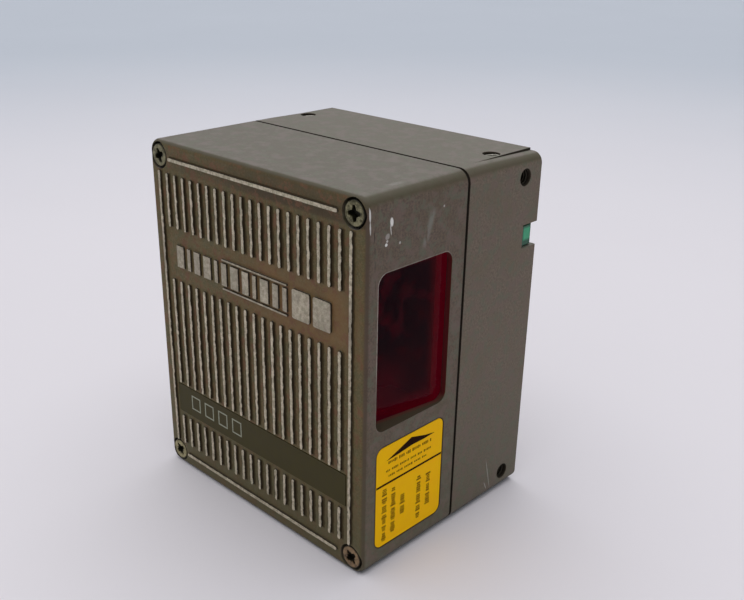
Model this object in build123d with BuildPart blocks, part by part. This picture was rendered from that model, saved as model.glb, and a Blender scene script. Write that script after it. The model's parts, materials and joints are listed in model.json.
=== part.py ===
"""Fixed-mount laser line scanner: a two-part die-cast housing around a spinning polygon mirror.

Millimetres. The origin is the middle of the base, +X is the side with the scan window, +Y the rear, +Z up.
The front housing holds the optics, the rear housing the bench they stand on and the electronics. The polygon
turns about an axis along Y, so its beam sweeps up and down through the tall window.
"""

import os
from math import cos, radians, sin, sqrt

from build123d import *

# ---------------------------------------------------------------- driving dimensions
width = 84.0
depth = 67.1
height = 102.0
wall = 3.0
edge_radius = 3.5
face_radius = 1.6
rib_height = 0.6
gasket_thickness = 0.8
clearance = 0.05

side = width / 2
front = -depth / 2
rear = depth / 2
middle = height / 2
face = front + rib_height
seam = face + 35.7
seam_front = seam - gasket_thickness / 2
seam_rear = seam + gasket_thickness / 2
inner_side = side - wall
inner_front = face + wall

# long housing screws, M4
screw_inset = 4.3
screw_span_x = width - 2 * screw_inset
screw_span_z = height - 2 * screw_inset
counterbore_radius = 3.75
counterbore_depth = 3.3
head_radius = 3.2
head_height = 2.4
washer_height = 0.8
screw_turns = ((-1, 1, 24), (1, 1, 5), (-1, -1, 38), (1, -1, 44))
m4_radius = 2.0
m4_tapped = 1.7

# M3 and M2.5 screws
m3_radius = 1.5
m3_tapped = 1.3
m3_head_radius = 2.75
m3_head_height = 2.0
m25_tapped = 1.05

# mounting holes for M5 screws, tapped size, on all four long sides of the rear housing
mount_radius = 2.1
mount_mouth = 2.4
mount_depth = 9.0
side_hole_y = rear - 7.0
side_hole_z = 6.1
top_hole_y = rear - 13.2
top_hole_x = 35.0

# scan window: a tall opening in the right side, with its glass tilted towards the front
window_y = face + 17.3
window_z = 62.0
window_width = 26.6
window_height = 42.0
window_radius = 3.0
window_tilt = 8.5
window_sink = 3.5
glass_thickness = 2.0
glass_overlap = 1.5
glass_gasket = 0.4
retainer_thickness = 1.2

# planes that the optics share
beam_y = window_y
bench_front = 5.25
bench_thickness = 3.0
bench_back = bench_front + bench_thickness
flange_thickness = 2.0
flange_front = bench_front - flange_thickness

# polygon motor
motor_x = -12.0
motor_z = 74.0
polygon_flats = 34.0
polygon_facets = 8
polygon_front = beam_y - 7.0
polygon_back = beam_y + 7.0
shaft_radius = 1.5

# rear cover and electronics
cover_thickness = 2.0
cover_inset = 1.4
cover_back = rear - cover_inset
cover_front = cover_back - cover_thickness
cover_gasket = 0.5
ledge = cover_front - cover_gasket
board_thickness = 1.6
board_front = 20.25
board_back = board_front + board_thickness

pieces = {}


def facing_front(y):
    """A sketch plane at depth y with axes X and Z, extruding towards the front."""
    return Plane.XZ.offset(-y)


def facing_rear(y):
    """A sketch plane at depth y with axes -X and Z, extruding towards the rear."""
    return Plane((0, y, 0), x_dir=(-1, 0, 0), z_dir=(0, 1, 0))


def facing_right(x):
    """A sketch plane at x with axes Y and Z, extruding towards the right."""
    return Plane.YZ.offset(x)


right_side = facing_right(side)
left_side = Plane((-side, 0, 0), x_dir=(0, -1, 0), z_dir=(-1, 0, 0))
top_side = Plane.XY.offset(height)
bottom_side = Plane((0, 0, 0), x_dir=(1, 0, 0), z_dir=(0, 0, -1))


def cross_outline(arm):
    """The corner points of a cross recess with four tapered wings."""
    points = []
    for turn in range(4):
        angle = radians(90 * turn)
        for along, across in ((0.4, -0.4), (1.0, -0.2), (1.0, 0.2)):
            x = arm * (along * cos(angle) - across * sin(angle))
            y = arm * (along * sin(angle) + across * cos(angle))
            points.append((x, y))
    return points


def screw(head_r, head_h, shank_r, shank_length, arm, sink, edge=0.4):
    """A cross-recess screw standing along Z with the top of its head at the origin."""
    with BuildPart() as made:
        with BuildSketch(Plane.XY.offset(-head_h)):
            Circle(head_r)
        extrude(amount=head_h)
        fillet(made.edges().sort_by(Axis.Z)[-1], edge)
        with BuildSketch(Plane.XY.offset(-head_h)):
            Circle(shank_r)
        extrude(amount=-shank_length)
        with BuildSketch():
            Polygon(*cross_outline(arm))
        extrude(amount=-sink, taper=10, mode=Mode.SUBTRACT)
    return made.part


def keep(name, built):
    """Labels a finished piece and sets it aside for export under that name."""
    built.part.label = name
    pieces[name] = built.part


# ---------------------------------------------------------------- front housing
window_plane = Plane(
    (side - window_sink, window_y, window_z),
    x_dir=(sin(radians(window_tilt)), cos(radians(window_tilt)), 0),
    z_dir=(cos(radians(window_tilt)), -sin(radians(window_tilt)), 0),
)
glass_width = window_width / cos(radians(window_tilt)) + 2 * glass_overlap
glass_height = window_height + 2 * glass_overlap
seat_depth = glass_gasket + glass_thickness
block_top = 29.5
tunnel_depth = 12.5
pocket_depth = 7.0
glass_corner = 2.4
retainer_screw_u = 9.0
retainer_screw_v = glass_height / 2 + 3.2
corner_inset = 5.2
corner_size = 7.2
corner_radius = 1.4
inner_radius = 1.5

rib_count = 20
rib_pitch = 3.56
rib_width = 1.2
border_inset = 4.6
border_width = 1.1
rib_rows = ((78.1, 93.5), (29.2, 62.7), (8.3, 18.3))
strip_width = 71.6
strip_height = 9.2
strip_z = 23.9
strip_thickness = 0.35
strip_pocket = 0.2
emblem_z = 70.2
emblem_bars = (3.2, 1.4, 2.6, 3.2, 1.4, 2.2, 3.2, 2.6, 1.4, 3.2, 2.2, 1.6)
emblem_gap = 1.65
emblem_left = -31.3
emblem_blocks = ((20.2, 6.4), (27.7, 6.2))
emblem_rail = 26.0
label_width = 25.6
label_height = 29.8
label_y = face + 17.45
label_z = 21.3
label_thickness = 0.25
label_pocket = 0.3
label_gap = 0.2


def window_point(u, w):
    """The X and Y of a point of the window plane, u along the glass and w outwards from its seat."""
    point = window_plane.from_local_coords((u, 0, w))
    return point.X, point.Y


with BuildPart() as front_housing:
    with BuildSketch(facing_front(seam_front)):
        with Locations((0, middle)):
            RectangleRounded(width, height, edge_radius)
    extrude(amount=seam_front - face)
    fillet(front_housing.faces().sort_by(Axis.Y)[0].edges(), face_radius)
    # hollow inside, with a post in each corner for a long screw
    with BuildSketch(facing_front(seam_front)):
        with Locations((0, middle)):
            RectangleRounded(width - 2 * wall, height - 2 * wall, inner_radius)
    extrude(amount=seam_front - inner_front, mode=Mode.SUBTRACT)
    with BuildSketch(facing_front(seam_front)):
        with Locations((0, middle)):
            with GridLocations(width - 2 * corner_inset, height - 2 * corner_inset, 2, 2):
                RectangleRounded(corner_size, corner_size, corner_radius)
    extrude(amount=seam_front - inner_front)
    # block behind the window, its inner face parallel to the tilted glass
    with BuildSketch(Plane.XY.offset(window_z - block_top)):
        with BuildLine():
            Polyline(
                (side - 1.5, 1.2),
                window_point(17.0, -seat_depth),
                window_point(-15.9, -seat_depth),
                (side - 1.5, inner_front - 1.0),
                close=True,
            )
        make_face()
    extrude(amount=2 * block_top)
    # beam tunnel, then the pocket for the glass behind its seat
    with BuildSketch(facing_right(side + 1)):
        with Locations((window_y, window_z)):
            RectangleRounded(window_width, window_height, window_radius)
    extrude(amount=-tunnel_depth, mode=Mode.SUBTRACT)
    with BuildSketch(window_plane):
        RectangleRounded(glass_width + 0.2, glass_height + 0.2, glass_corner + 0.1)
    extrude(amount=-pocket_depth, mode=Mode.SUBTRACT)
    with Locations(window_plane.offset(-seat_depth - 0.01)):
        with GridLocations(2 * retainer_screw_u, 2 * retainer_screw_v, 2, 2):
            with Locations(Rotation(180, 0, 0)):
                Hole(m25_tapped, 4.0)
    # raised ribs in three rows, the border between the screws and the plain emblem
    for low, high in rib_rows:
        with BuildSketch(facing_front(face + 0.01)):
            with Locations((0, (low + high) / 2)):
                with GridLocations(rib_pitch, 0, rib_count, 1):
                    SlotOverall(high - low, rib_width, rotation=90)
        extrude(amount=rib_height + 0.01, taper=12)
    with BuildSketch(facing_front(face + 0.01)):
        with Locations((0, border_inset), (0, height - border_inset)):
            SlotOverall(width - 18.0, border_width)
        with Locations((border_inset - side, middle), (side - border_inset, middle)):
            SlotOverall(height - 16.4, border_width, rotation=90)
    extrude(amount=rib_height + 0.01, taper=12)
    bar_x = emblem_left
    with BuildSketch(facing_front(face + 0.01)):
        for bar_width in emblem_bars:
            with Locations((bar_x + bar_width / 2, emblem_z)):
                Rectangle(bar_width, 6.4)
            bar_x += bar_width + emblem_gap
        for x, block_width in emblem_blocks:
            with Locations((x, emblem_z)):
                RectangleRounded(block_width, 7.9, 0.6)
        with Locations((bar_x - emblem_gap - emblem_rail / 2, emblem_z)):
            with GridLocations(0, 8.2, 1, 2):
                Rectangle(emblem_rail, 0.5)
    extrude(amount=rib_height + 0.01, taper=5)
    # shallow pockets for the name strip and the side label
    with BuildSketch(facing_front(face)):
        with Locations((0, strip_z)):
            Rectangle(strip_width + 0.3, strip_height + 0.3)
    extrude(amount=-strip_pocket, mode=Mode.SUBTRACT)
    with BuildSketch(right_side):
        with Locations((label_y, label_z)):
            RectangleRounded(label_width + 2 * label_gap, label_height + 2 * label_gap, 2.4)
    extrude(amount=-label_pocket, mode=Mode.SUBTRACT)
    # counterbored screw holes
    with Locations(facing_front(face)):
        with Locations((0, middle)):
            with GridLocations(screw_span_x, screw_span_z, 2, 2):
                CounterBoreHole(2.2, counterbore_radius, counterbore_depth, seam_front - face + 1)
keep("front_housing", front_housing)

with BuildPart() as front_screw_washers:
    with BuildSketch(facing_front(face + counterbore_depth)):
        with Locations((0, middle)):
            with GridLocations(screw_span_x, screw_span_z, 2, 2):
                Circle(3.55)
                Circle(m4_radius + 0.1, mode=Mode.SUBTRACT)
    extrude(amount=washer_height)
keep("front_screw_washers", front_screw_washers)

screw_top = face + counterbore_depth - washer_height - head_height
long_screw = screw(head_radius, head_height, m4_radius, seam_rear - screw_top - head_height, 2.0, 1.5, 0.5)
with BuildPart() as front_screws:
    for x, z, turn in screw_turns:
        with Locations(facing_front(screw_top)):
            with Locations((x * screw_span_x / 2, middle + z * screw_span_z / 2)):
                add(long_screw.rotate(Axis.Z, turn))
    with BuildSketch(facing_rear(seam_rear)):
        with Locations((0, middle)):
            with GridLocations(screw_span_x, screw_span_z, 2, 2):
                Circle(m4_tapped - clearance)
    extrude(amount=9.0)
keep("front_screws", front_screws)

# ---------------------------------------------------------------- window
opening_width = glass_width - 2 * glass_overlap + 0.4
opening_height = window_height + 0.4
retainer_width = 26.6
retainer_opening = 23.0

with BuildPart() as window_gasket:
    with BuildSketch(window_plane):
        RectangleRounded(glass_width, glass_height, glass_corner)
        RectangleRounded(opening_width, opening_height, window_radius, mode=Mode.SUBTRACT)
    extrude(amount=-glass_gasket)
keep("window_gasket", window_gasket)

with BuildPart() as scan_window:
    with BuildSketch(window_plane.offset(-glass_gasket)):
        RectangleRounded(glass_width, glass_height, glass_corner)
    extrude(amount=-glass_thickness)
keep("scan_window", scan_window)

with BuildPart() as window_retainer:
    with BuildSketch(window_plane.offset(-seat_depth)):
        Rectangle(retainer_width, 2 * retainer_screw_v + 6.0)
        Rectangle(retainer_opening, window_height - 1.0, mode=Mode.SUBTRACT)
        with GridLocations(2 * retainer_screw_u, 2 * retainer_screw_v, 2, 2):
            Circle(1.35, mode=Mode.SUBTRACT)
    extrude(amount=-retainer_thickness)
keep("window_retainer", window_retainer)

# ---------------------------------------------------------------- label and name strip, both blank
with BuildPart() as side_label:
    with BuildSketch(facing_right(side - label_pocket)):
        with Locations((label_y, label_z)):
            RectangleRounded(label_width, label_height, 2.2)
    extrude(amount=label_thickness)
keep("side_label", side_label)

with BuildPart() as name_strip:
    with BuildSketch(facing_front(face + strip_pocket)):
        with Locations((0, strip_z)):
            Rectangle(strip_width, strip_height)
    extrude(amount=strip_thickness)
keep("name_strip", name_strip)

# ---------------------------------------------------------------- seal between the housings
with BuildPart() as housing_gasket:
    with BuildSketch(facing_front(seam_rear)):
        with Locations((0, middle)):
            RectangleRounded(width - 1.0, height - 1.0, edge_radius - 0.5)
            RectangleRounded(width - 2 * wall, height - 2 * wall, inner_radius, mode=Mode.SUBTRACT)
            with GridLocations(width - 2 * corner_inset, height - 2 * corner_inset, 2, 2):
                RectangleRounded(corner_size, corner_size, corner_radius)
            with GridLocations(screw_span_x, screw_span_z, 2, 2):
                Circle(2.3, mode=Mode.SUBTRACT)
    extrude(amount=gasket_thickness)
keep("housing_gasket", housing_gasket)

# ---------------------------------------------------------------- rear housing
post_size = 9.4
post_inset = 6.3
notch_front = rear - 6.3
notch_low = 76.0
notch_high = 82.6
notch_depth = 6.0
cover_boss_x = 27.0
cover_boss_inset = 7.6
rebate_inset = 2.2
bench_screw_x = 35.4
bench_screw_z = (40.0, 68.0)
draft_start = 9.5
draft_fall = 0.6
pad_width = width - 8.0

with BuildPart() as rear_housing:
    with BuildSketch(facing_rear(seam_rear)):
        with Locations((0, middle)):
            RectangleRounded(width, height, edge_radius)
    extrude(amount=draft_start - seam_rear)
    # the long corners fall away towards the rear beside the flat top and bottom pads
    with BuildSketch(facing_rear(draft_start)):
        with Locations((0, middle)):
            RectangleRounded(width, height, edge_radius)
    with BuildSketch(facing_rear(rear)):
        with Locations((0, middle)):
            RectangleRounded(width, height - 2 * draft_fall, edge_radius - draft_fall)
    loft()
    with BuildSketch(facing_rear(draft_start)):
        with Locations((0, middle)):
            Rectangle(pad_width, height)
    extrude(amount=rear - draft_start)
    with BuildSketch(facing_front(rear)):
        with Locations((0, middle)):
            RectangleRounded(width - 2 * wall, height - 2 * wall, inner_radius)
    extrude(amount=rear - seam_rear, mode=Mode.SUBTRACT)
    # corner posts, bosses for the bench and bosses for the rear cover
    with BuildSketch(facing_front(ledge)):
        with Locations((0, middle)):
            with GridLocations(width - 2 * post_inset, height - 2 * post_inset, 2, 2):
                RectangleRounded(post_size, post_size, corner_radius)
    extrude(amount=ledge - seam_rear)
    with BuildSketch(facing_front(bench_back + 10.0)):
        for z in bench_screw_z:
            with Locations((-bench_screw_x, z), (bench_screw_x, z)):
                Circle(3.6)
        for z in bench_screw_z:
            with Locations((-inner_side, z), (inner_side, z)):
                Rectangle(2 * wall - 2.0, 7.2)
    extrude(amount=10.0)
    with BuildSketch(facing_front(ledge)):
        with Locations((0, middle)):
            with GridLocations(2 * cover_boss_x, height - 2 * cover_boss_inset, 2, 2):
                Circle(3.75)
            with GridLocations(2 * cover_boss_x, height - 2 * (wall + 1.0), 2, 2):
                Rectangle(7.5, 6.0)
    extrude(amount=16.0)
    # rebate for the cover, and the notch for the light pipe
    with BuildSketch(facing_front(rear)):
        with Locations((0, middle)):
            RectangleRounded(width - 2 * rebate_inset, height - 2 * rebate_inset, 2.0)
    extrude(amount=rear - ledge, mode=Mode.SUBTRACT)
    with BuildSketch(facing_front(rear)):
        with Locations((side, (notch_low + notch_high) / 2)):
            Rectangle(2 * notch_depth, notch_high - notch_low)
    extrude(amount=rear - notch_front, mode=Mode.SUBTRACT)
    # tapped holes: long screws, bench, cover, and the mounting holes on four sides
    with Locations(facing_front(seam_rear)):
        with Locations((0, middle)):
            with GridLocations(screw_span_x, screw_span_z, 2, 2):
                Hole(m4_tapped, 10.0)
    with Locations(facing_front(bench_back)):
        for z in bench_screw_z:
            with Locations((-bench_screw_x, z), (bench_screw_x, z)):
                Hole(m3_tapped, 8.0)
    with Locations(facing_rear(ledge)):
        with Locations((0, middle)):
            with GridLocations(2 * cover_boss_x, height - 2 * cover_boss_inset, 2, 2):
                Hole(m3_tapped, 9.0)
    for plane, sign in ((right_side, 1), (left_side, -1)):
        with Locations(plane):
            with Locations((sign * side_hole_y, side_hole_z), (sign * side_hole_y, height - side_hole_z)):
                CounterSinkHole(mount_radius, mount_mouth, mount_depth, 90)
    for plane, sign in ((top_side, 1), (bottom_side, -1)):
        with Locations(plane):
            with Locations((-top_hole_x, sign * top_hole_y), (top_hole_x, sign * top_hole_y)):
                CounterSinkHole(mount_radius, mount_mouth, mount_depth, 90)
keep("rear_housing", rear_housing)

# ---------------------------------------------------------------- interface connector, 15 ways
connector_z = 30.0
connector_flange_back = 26.6
connector_flange_front = 27.4
shell_end = rear - 0.1
jack_x = 16.65
pin_pitch = 2.77
row_gap = 2.84


def connector_outline(grow):
    """The D-shaped outline of the connector's shell, grown on every side by the given amount."""
    Trapezoid(25.0 + 2 * grow, 8.4 + 2 * grow, 80, rotation=180)


def pin_rows():
    """The centres of the pins, eight in the upper row and seven in the lower."""
    upper = [((k - 3.5) * pin_pitch, connector_z + row_gap / 2) for k in range(8)]
    lower = [((k - 3) * pin_pitch, connector_z - row_gap / 2) for k in range(7)]
    return upper + lower


with BuildPart() as connector_shell:
    with BuildSketch(facing_rear(connector_flange_back)):
        with Locations((0, connector_z)):
            RectangleRounded(39.2, 12.5, 1.0)
            with GridLocations(2 * jack_x, 0, 2, 1):
                Circle(1.55, mode=Mode.SUBTRACT)
    extrude(amount=connector_flange_front - connector_flange_back)
    with BuildSketch(facing_rear(connector_flange_front)) as shell_outline:
        with Locations((0, connector_z)):
            connector_outline(0)
        fillet(shell_outline.vertices(), 2.4)
    extrude(amount=shell_end - connector_flange_front)
    with BuildSketch(facing_rear(connector_flange_back)) as shell_inside:
        with Locations((0, connector_z)):
            connector_outline(-0.5)
        fillet(shell_inside.vertices(), 1.9)
    extrude(amount=shell_end - connector_flange_back, mode=Mode.SUBTRACT)
keep("connector_shell", connector_shell)

with BuildPart() as connector_insulator:
    with BuildSketch(facing_rear(board_back)):
        with Locations((0, connector_z)):
            Rectangle(28.0, 10.8)
    extrude(amount=connector_flange_back - board_back)
    with BuildSketch(facing_rear(connector_flange_back)) as insulator_nose:
        with Locations((0, connector_z)):
            connector_outline(-0.6)
        fillet(insulator_nose.vertices(), 1.8)
    extrude(amount=1.6)
    with Locations(facing_front(board_back)):
        with Locations(*pin_rows()):
            Hole(0.53, 8.0)
keep("connector_insulator", connector_insulator)

with BuildPart() as connector_pins:
    with BuildSketch(facing_rear(board_back)):
        with Locations(*[(-x, z) for x, z in pin_rows()]):
            Circle(0.5)
    extrude(amount=shell_end - board_back - 1.2)
    fillet(connector_pins.faces().sort_by(Axis.Y)[-15:].edges(), 0.3)
keep("connector_pins", connector_pins)

with BuildPart() as connector_jackscrews:
    with BuildSketch(facing_rear(connector_flange_front)):
        with Locations((0, connector_z)):
            with GridLocations(2 * jack_x, 0, 2, 1):
                RegularPolygon(2.4, 6, major_radius=False)
    extrude(amount=5.0)
    chamfer(connector_jackscrews.faces().sort_by(Axis.Y)[-2:].edges(), 0.3)
    with BuildSketch(facing_front(connector_flange_front)):
        with Locations((0, connector_z)):
            with GridLocations(2 * jack_x, 0, 2, 1):
                Circle(1.45)
    extrude(amount=3.0)
    with Locations(facing_rear(connector_flange_front + 5.0)):
        with Locations((0, connector_z)):
            with GridLocations(2 * jack_x, 0, 2, 1):
                Hole(1.15, 4.5)
keep("connector_jackscrews", connector_jackscrews)

# ---------------------------------------------------------------- rear cover
cover_gap = 0.2
cover_width = width - 2 * (rebate_inset + cover_gap)
cover_height = height - 2 * (rebate_inset + cover_gap)
cover_corner = 1.8
seal_width = cover_width - 5.2
seal_height = cover_height - 5.2
cutback = notch_depth + 0.5
cutback_height = notch_high - notch_low + 2 * cover_gap

with BuildPart() as rear_cover:
    with BuildSketch(facing_rear(cover_front)) as cover_outline:
        with Locations((0, middle)):
            RectangleRounded(cover_width, cover_height, cover_corner)
        with Locations((-side, (notch_low + notch_high) / 2)):
            Rectangle(2 * cutback, cutback_height, mode=Mode.SUBTRACT)
        with Locations((0, connector_z)):
            with GridLocations(2 * jack_x, 0, 2, 1):
                Circle(3.3, mode=Mode.SUBTRACT)
    extrude(amount=cover_thickness)
    with BuildSketch(facing_rear(cover_front)) as cover_cutout:
        with Locations((0, connector_z)):
            connector_outline(0.6)
        fillet(cover_cutout.vertices(), 2.8)
    extrude(amount=cover_thickness, mode=Mode.SUBTRACT)
    with Locations(facing_rear(cover_back)):
        with Locations((0, middle)):
            with GridLocations(2 * cover_boss_x, height - 2 * cover_boss_inset, 2, 2):
                CounterSinkHole(1.65, 3.0, cover_thickness + 1, 90)
keep("rear_cover", rear_cover)

with BuildPart() as rear_cover_gasket:
    with BuildSketch(facing_rear(ledge)):
        with Locations((0, middle)):
            RectangleRounded(cover_width, cover_height, cover_corner)
            RectangleRounded(seal_width, seal_height, 1.0, mode=Mode.SUBTRACT)
        with Locations((-side, (notch_low + notch_high) / 2)):
            Rectangle(2 * cutback, cutback_height, mode=Mode.SUBTRACT)
    extrude(amount=cover_gasket)
keep("rear_cover_gasket", rear_cover_gasket)

with BuildPart() as countersunk_screw:
    with BuildSketch(Plane.XY):
        Circle(2.75)
    extrude(amount=-1.3, taper=45)
    with BuildSketch(Plane.XY.offset(-1.2)):
        Circle(m3_tapped - clearance)
    extrude(amount=-8.0)
    with BuildSketch():
        Polygon(*cross_outline(1.6))
    extrude(amount=-1.1, taper=10, mode=Mode.SUBTRACT)
with BuildPart() as rear_cover_screws:
    with Locations(facing_rear(cover_back - 0.2)):
        with Locations((0, middle)):
            with GridLocations(2 * cover_boss_x, height - 2 * cover_boss_inset, 2, 2):
                add(countersunk_screw.part)
keep("rear_cover_screws", rear_cover_screws)

# ---------------------------------------------------------------- status light
led_x = 31.7
led_z = (notch_low + notch_high) / 2
with BuildPart() as status_led:
    with BuildSketch(facing_rear(board_back)):
        with Locations((-led_x, led_z)):
            Circle(1.9)
    extrude(amount=1.0)
    with BuildSketch(facing_rear(board_back + 1.0)):
        with Locations((-led_x, led_z)):
            Circle(1.5)
    extrude(amount=3.0)
    fillet(status_led.edges().sort_by(Axis.Y)[-1], 1.3)
keep("status_led", status_led)

# the pipe carries the light over the LED's top to the lens that fills the notch
pipe_inner = led_x - 2.0
pipe_outer = 38.8
pipe_front = 26.3
pipe_back = ledge - 0.15
pipe_height = 4.6
lens_gap = 0.1
lens_inner = 35.7
lens_outer = side - 0.5
lens_front = notch_front + lens_gap
lens_back = rear - 1.5

with BuildPart() as status_light_pipe:
    with BuildSketch(Plane.XY.offset(led_z - pipe_height / 2)):
        with Locations(((pipe_inner + pipe_outer) / 2, (pipe_front + pipe_back) / 2)):
            Rectangle(pipe_outer - pipe_inner, pipe_back - pipe_front)
    extrude(amount=pipe_height)
    with BuildSketch(Plane.XY.offset(notch_low + lens_gap)):
        with Locations(((lens_inner + lens_outer) / 2, (lens_front + lens_back) / 2)):
            Rectangle(lens_outer - lens_inner, lens_back - lens_front)
    extrude(amount=notch_high - notch_low - 2 * lens_gap)
    chamfer(status_light_pipe.faces().sort_by(Axis.X)[-1].edges(), 0.5)
keep("status_light_pipe", status_light_pipe)

# ---------------------------------------------------------------- optical bench
standoff_x = 30.0
standoff_z = (17.0, 85.0)
motor_plate_size = 37.5
motor_screw_pitch = 31.2
laser_z = 26.0
laser_flange = (7.5, 33.0, 21.0, 31.0)
laser_screw_x = (11.0, 30.0)
fold_flange_screw = (-8.0, 29.0)
collector_screws = ((12.0, 8.2), (18.5, 8.2))
receiver_screws = ((-35.0, 17.0), (-18.0, 17.0))
bracket_holes = [(x, laser_z) for x in laser_screw_x]
bracket_holes += [fold_flange_screw, *collector_screws, *receiver_screws]
flex_slots = ((motor_x, 49.0, 10.0, 2.4), (-32.8, 27.0, 2.4, 8.0), (34.25, 25.0, 2.4, 8.0))

with BuildPart() as optical_bench:
    with BuildSketch(facing_front(bench_back)):
        with Locations((0, middle)):
            RectangleRounded(77.4, 95.4, 1.2)
            with GridLocations(77.4, 95.4, 2, 2):
                Rectangle(16.2, 16.2, mode=Mode.SUBTRACT)
        for x, z, slot_width, slot_height in flex_slots:
            with Locations((x, z)):
                Rectangle(slot_width, slot_height, mode=Mode.SUBTRACT)
        with Locations((motor_x, motor_z)):
            Circle(4.6, mode=Mode.SUBTRACT)
            with GridLocations(motor_screw_pitch, motor_screw_pitch, 2, 2):
                Circle(m25_tapped, mode=Mode.SUBTRACT)
        for z in bench_screw_z:
            with Locations((-bench_screw_x, z), (bench_screw_x, z)):
                Circle(m3_radius + 0.2, mode=Mode.SUBTRACT)
        for z in standoff_z:
            with Locations((-standoff_x, z), (standoff_x, z)):
                Circle(m3_tapped, mode=Mode.SUBTRACT)
        with Locations(*bracket_holes):
            Circle(m3_tapped, mode=Mode.SUBTRACT)
    extrude(amount=bench_thickness)
keep("optical_bench", optical_bench)

m3_screw = screw(m3_head_radius, m3_head_height, m3_tapped - clearance, 6.0, 1.7, 1.2)
with BuildPart() as m3_screws:
    with Locations(facing_front(bench_front - m3_head_height)):
        for z in bench_screw_z:
            with Locations((-bench_screw_x, z), (bench_screw_x, z)):
                add(m3_screw)
    with Locations(facing_front(flange_front - m3_head_height)):
        with Locations(*bracket_holes):
            add(m3_screw)
    with Locations(facing_rear(board_back + m3_head_height)):
        for z in standoff_z:
            with Locations((-standoff_x, z), (standoff_x, z)):
                add(m3_screw)
keep("m3_screws", m3_screws)

# ---------------------------------------------------------------- polygon motor, fixed parts
plate_thickness = 1.6
plate_front = bench_front - plate_thickness
tube_radius = 5.0
ring_outer = 4.0
ring_width = 3.0
rear_bearing = 0.2
front_bearing = -7.4
stator_back = 1.0
stator_front = -4.0
stator_radius = 13.0
tooth_count = 6


def motor_circle(radius, mode=Mode.ADD):
    """A circle about the motor's axis, in a sketch that faces the front or is placed by its own plane."""
    with Locations((motor_x, motor_z)):
        Circle(radius, mode=mode)


with BuildPart() as motor_plate:
    with BuildSketch(facing_front(bench_front)):
        with Locations((motor_x, motor_z)):
            RectangleRounded(motor_plate_size, motor_plate_size, 3.0)
            with GridLocations(motor_screw_pitch, motor_screw_pitch, 2, 2):
                Circle(1.35, mode=Mode.SUBTRACT)
        motor_circle(4.4, Mode.SUBTRACT)
    extrude(amount=plate_thickness)
keep("motor_plate", motor_plate)

small_screw = screw(2.1, 1.4, m25_tapped - clearance, 4.6, 1.3, 0.8, 0.3)
with BuildPart() as m25_screws:
    with Locations(facing_front(plate_front - 1.4)):
        with Locations((motor_x, motor_z)):
            with GridLocations(motor_screw_pitch, motor_screw_pitch, 2, 2):
                add(small_screw)
    with Locations(window_plane.offset(-seat_depth - retainer_thickness - 1.4)):
        with GridLocations(2 * retainer_screw_u, 2 * retainer_screw_v, 2, 2):
            with Locations(Rotation(180, 0, 0)):
                add(small_screw)
keep("m25_screws", m25_screws)

with BuildPart() as bearing_tube:
    with BuildSketch(facing_front(plate_front)):
        motor_circle(7.5)
    extrude(amount=1.2)
    with BuildSketch(facing_front(plate_front)):
        motor_circle(tube_radius)
    extrude(amount=plate_front - front_bearing)
    with BuildSketch(facing_front(bench_back - 1.0)):
        motor_circle(4.4)
    extrude(amount=bench_back - 1.0 - plate_front)
    with BuildSketch(facing_front(rear_bearing + ring_width)):
        motor_circle(ring_outer)
    extrude(amount=ring_width, mode=Mode.SUBTRACT)
    with BuildSketch(facing_front(rear_bearing + ring_width + 1.0)):
        motor_circle(3.3)
    extrude(amount=rear_bearing + ring_width + 1.0 - front_bearing, mode=Mode.SUBTRACT)
    with BuildSketch(facing_front(front_bearing + ring_width)):
        motor_circle(ring_outer)
    extrude(amount=ring_width, mode=Mode.SUBTRACT)
keep("bearing_tube", bearing_tube)

with BuildPart() as stator_core:
    with BuildSketch(facing_front(stator_back)):
        motor_circle(stator_radius)
        motor_circle(stator_radius - 1.6, Mode.SUBTRACT)
        with Locations((motor_x, motor_z)):
            with PolarLocations(stator_radius, tooth_count, 360 / tooth_count / 2):
                Rectangle(4.0, 1.6, mode=Mode.SUBTRACT)
            with PolarLocations((tube_radius + stator_radius) / 2, tooth_count):
                Rectangle(stator_radius - tube_radius - 1.0, 2.4)
        motor_circle(tube_radius + 2.0)
        motor_circle(tube_radius + 0.02, Mode.SUBTRACT)
    extrude(amount=stator_back - stator_front)
keep("stator_core", stator_core)

with BuildPart() as stator_windings:
    with BuildSketch(facing_front(stator_back + 0.9)):
        with Locations((motor_x, motor_z)):
            with PolarLocations(9.2, tooth_count):
                Rectangle(3.8, 4.6)
    extrude(amount=stator_back - stator_front + 1.8)
    fillet(stator_windings.edges().filter_by(Axis.Y), 0.6)
    with BuildSketch(facing_front(stator_back + 0.02)):
        with Locations((motor_x, motor_z)):
            with PolarLocations(9.2, tooth_count):
                Rectangle(6.0, 2.44)
    extrude(amount=stator_back - stator_front + 0.04, mode=Mode.SUBTRACT)
keep("stator_windings", stator_windings)

# ball bearings: grooved rings with seven balls each
ball_radius = 0.72
ball_circle = 2.75
groove_radius = 0.76
bearing_starts = (rear_bearing, front_bearing)

with BuildPart() as bearing_outer_rings:
    for start in bearing_starts:
        with BuildSketch(facing_rear(start)):
            with Locations((-motor_x, motor_z)):
                Circle(ring_outer - 0.01)
                Circle(3.2, mode=Mode.SUBTRACT)
        extrude(amount=ring_width)
        with Locations(facing_rear(start + ring_width / 2)):
            with Locations((-motor_x, motor_z)):
                Torus(ball_circle, groove_radius, mode=Mode.SUBTRACT)
keep("bearing_outer_rings", bearing_outer_rings)

with BuildPart() as bearing_inner_rings:
    for start in bearing_starts:
        with BuildSketch(facing_rear(start)):
            with Locations((-motor_x, motor_z)):
                Circle(2.3)
                Circle(shaft_radius + 0.01, mode=Mode.SUBTRACT)
        extrude(amount=ring_width)
        with Locations(facing_rear(start + ring_width / 2)):
            with Locations((-motor_x, motor_z)):
                Torus(ball_circle, groove_radius, mode=Mode.SUBTRACT)
keep("bearing_inner_rings", bearing_inner_rings)

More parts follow.
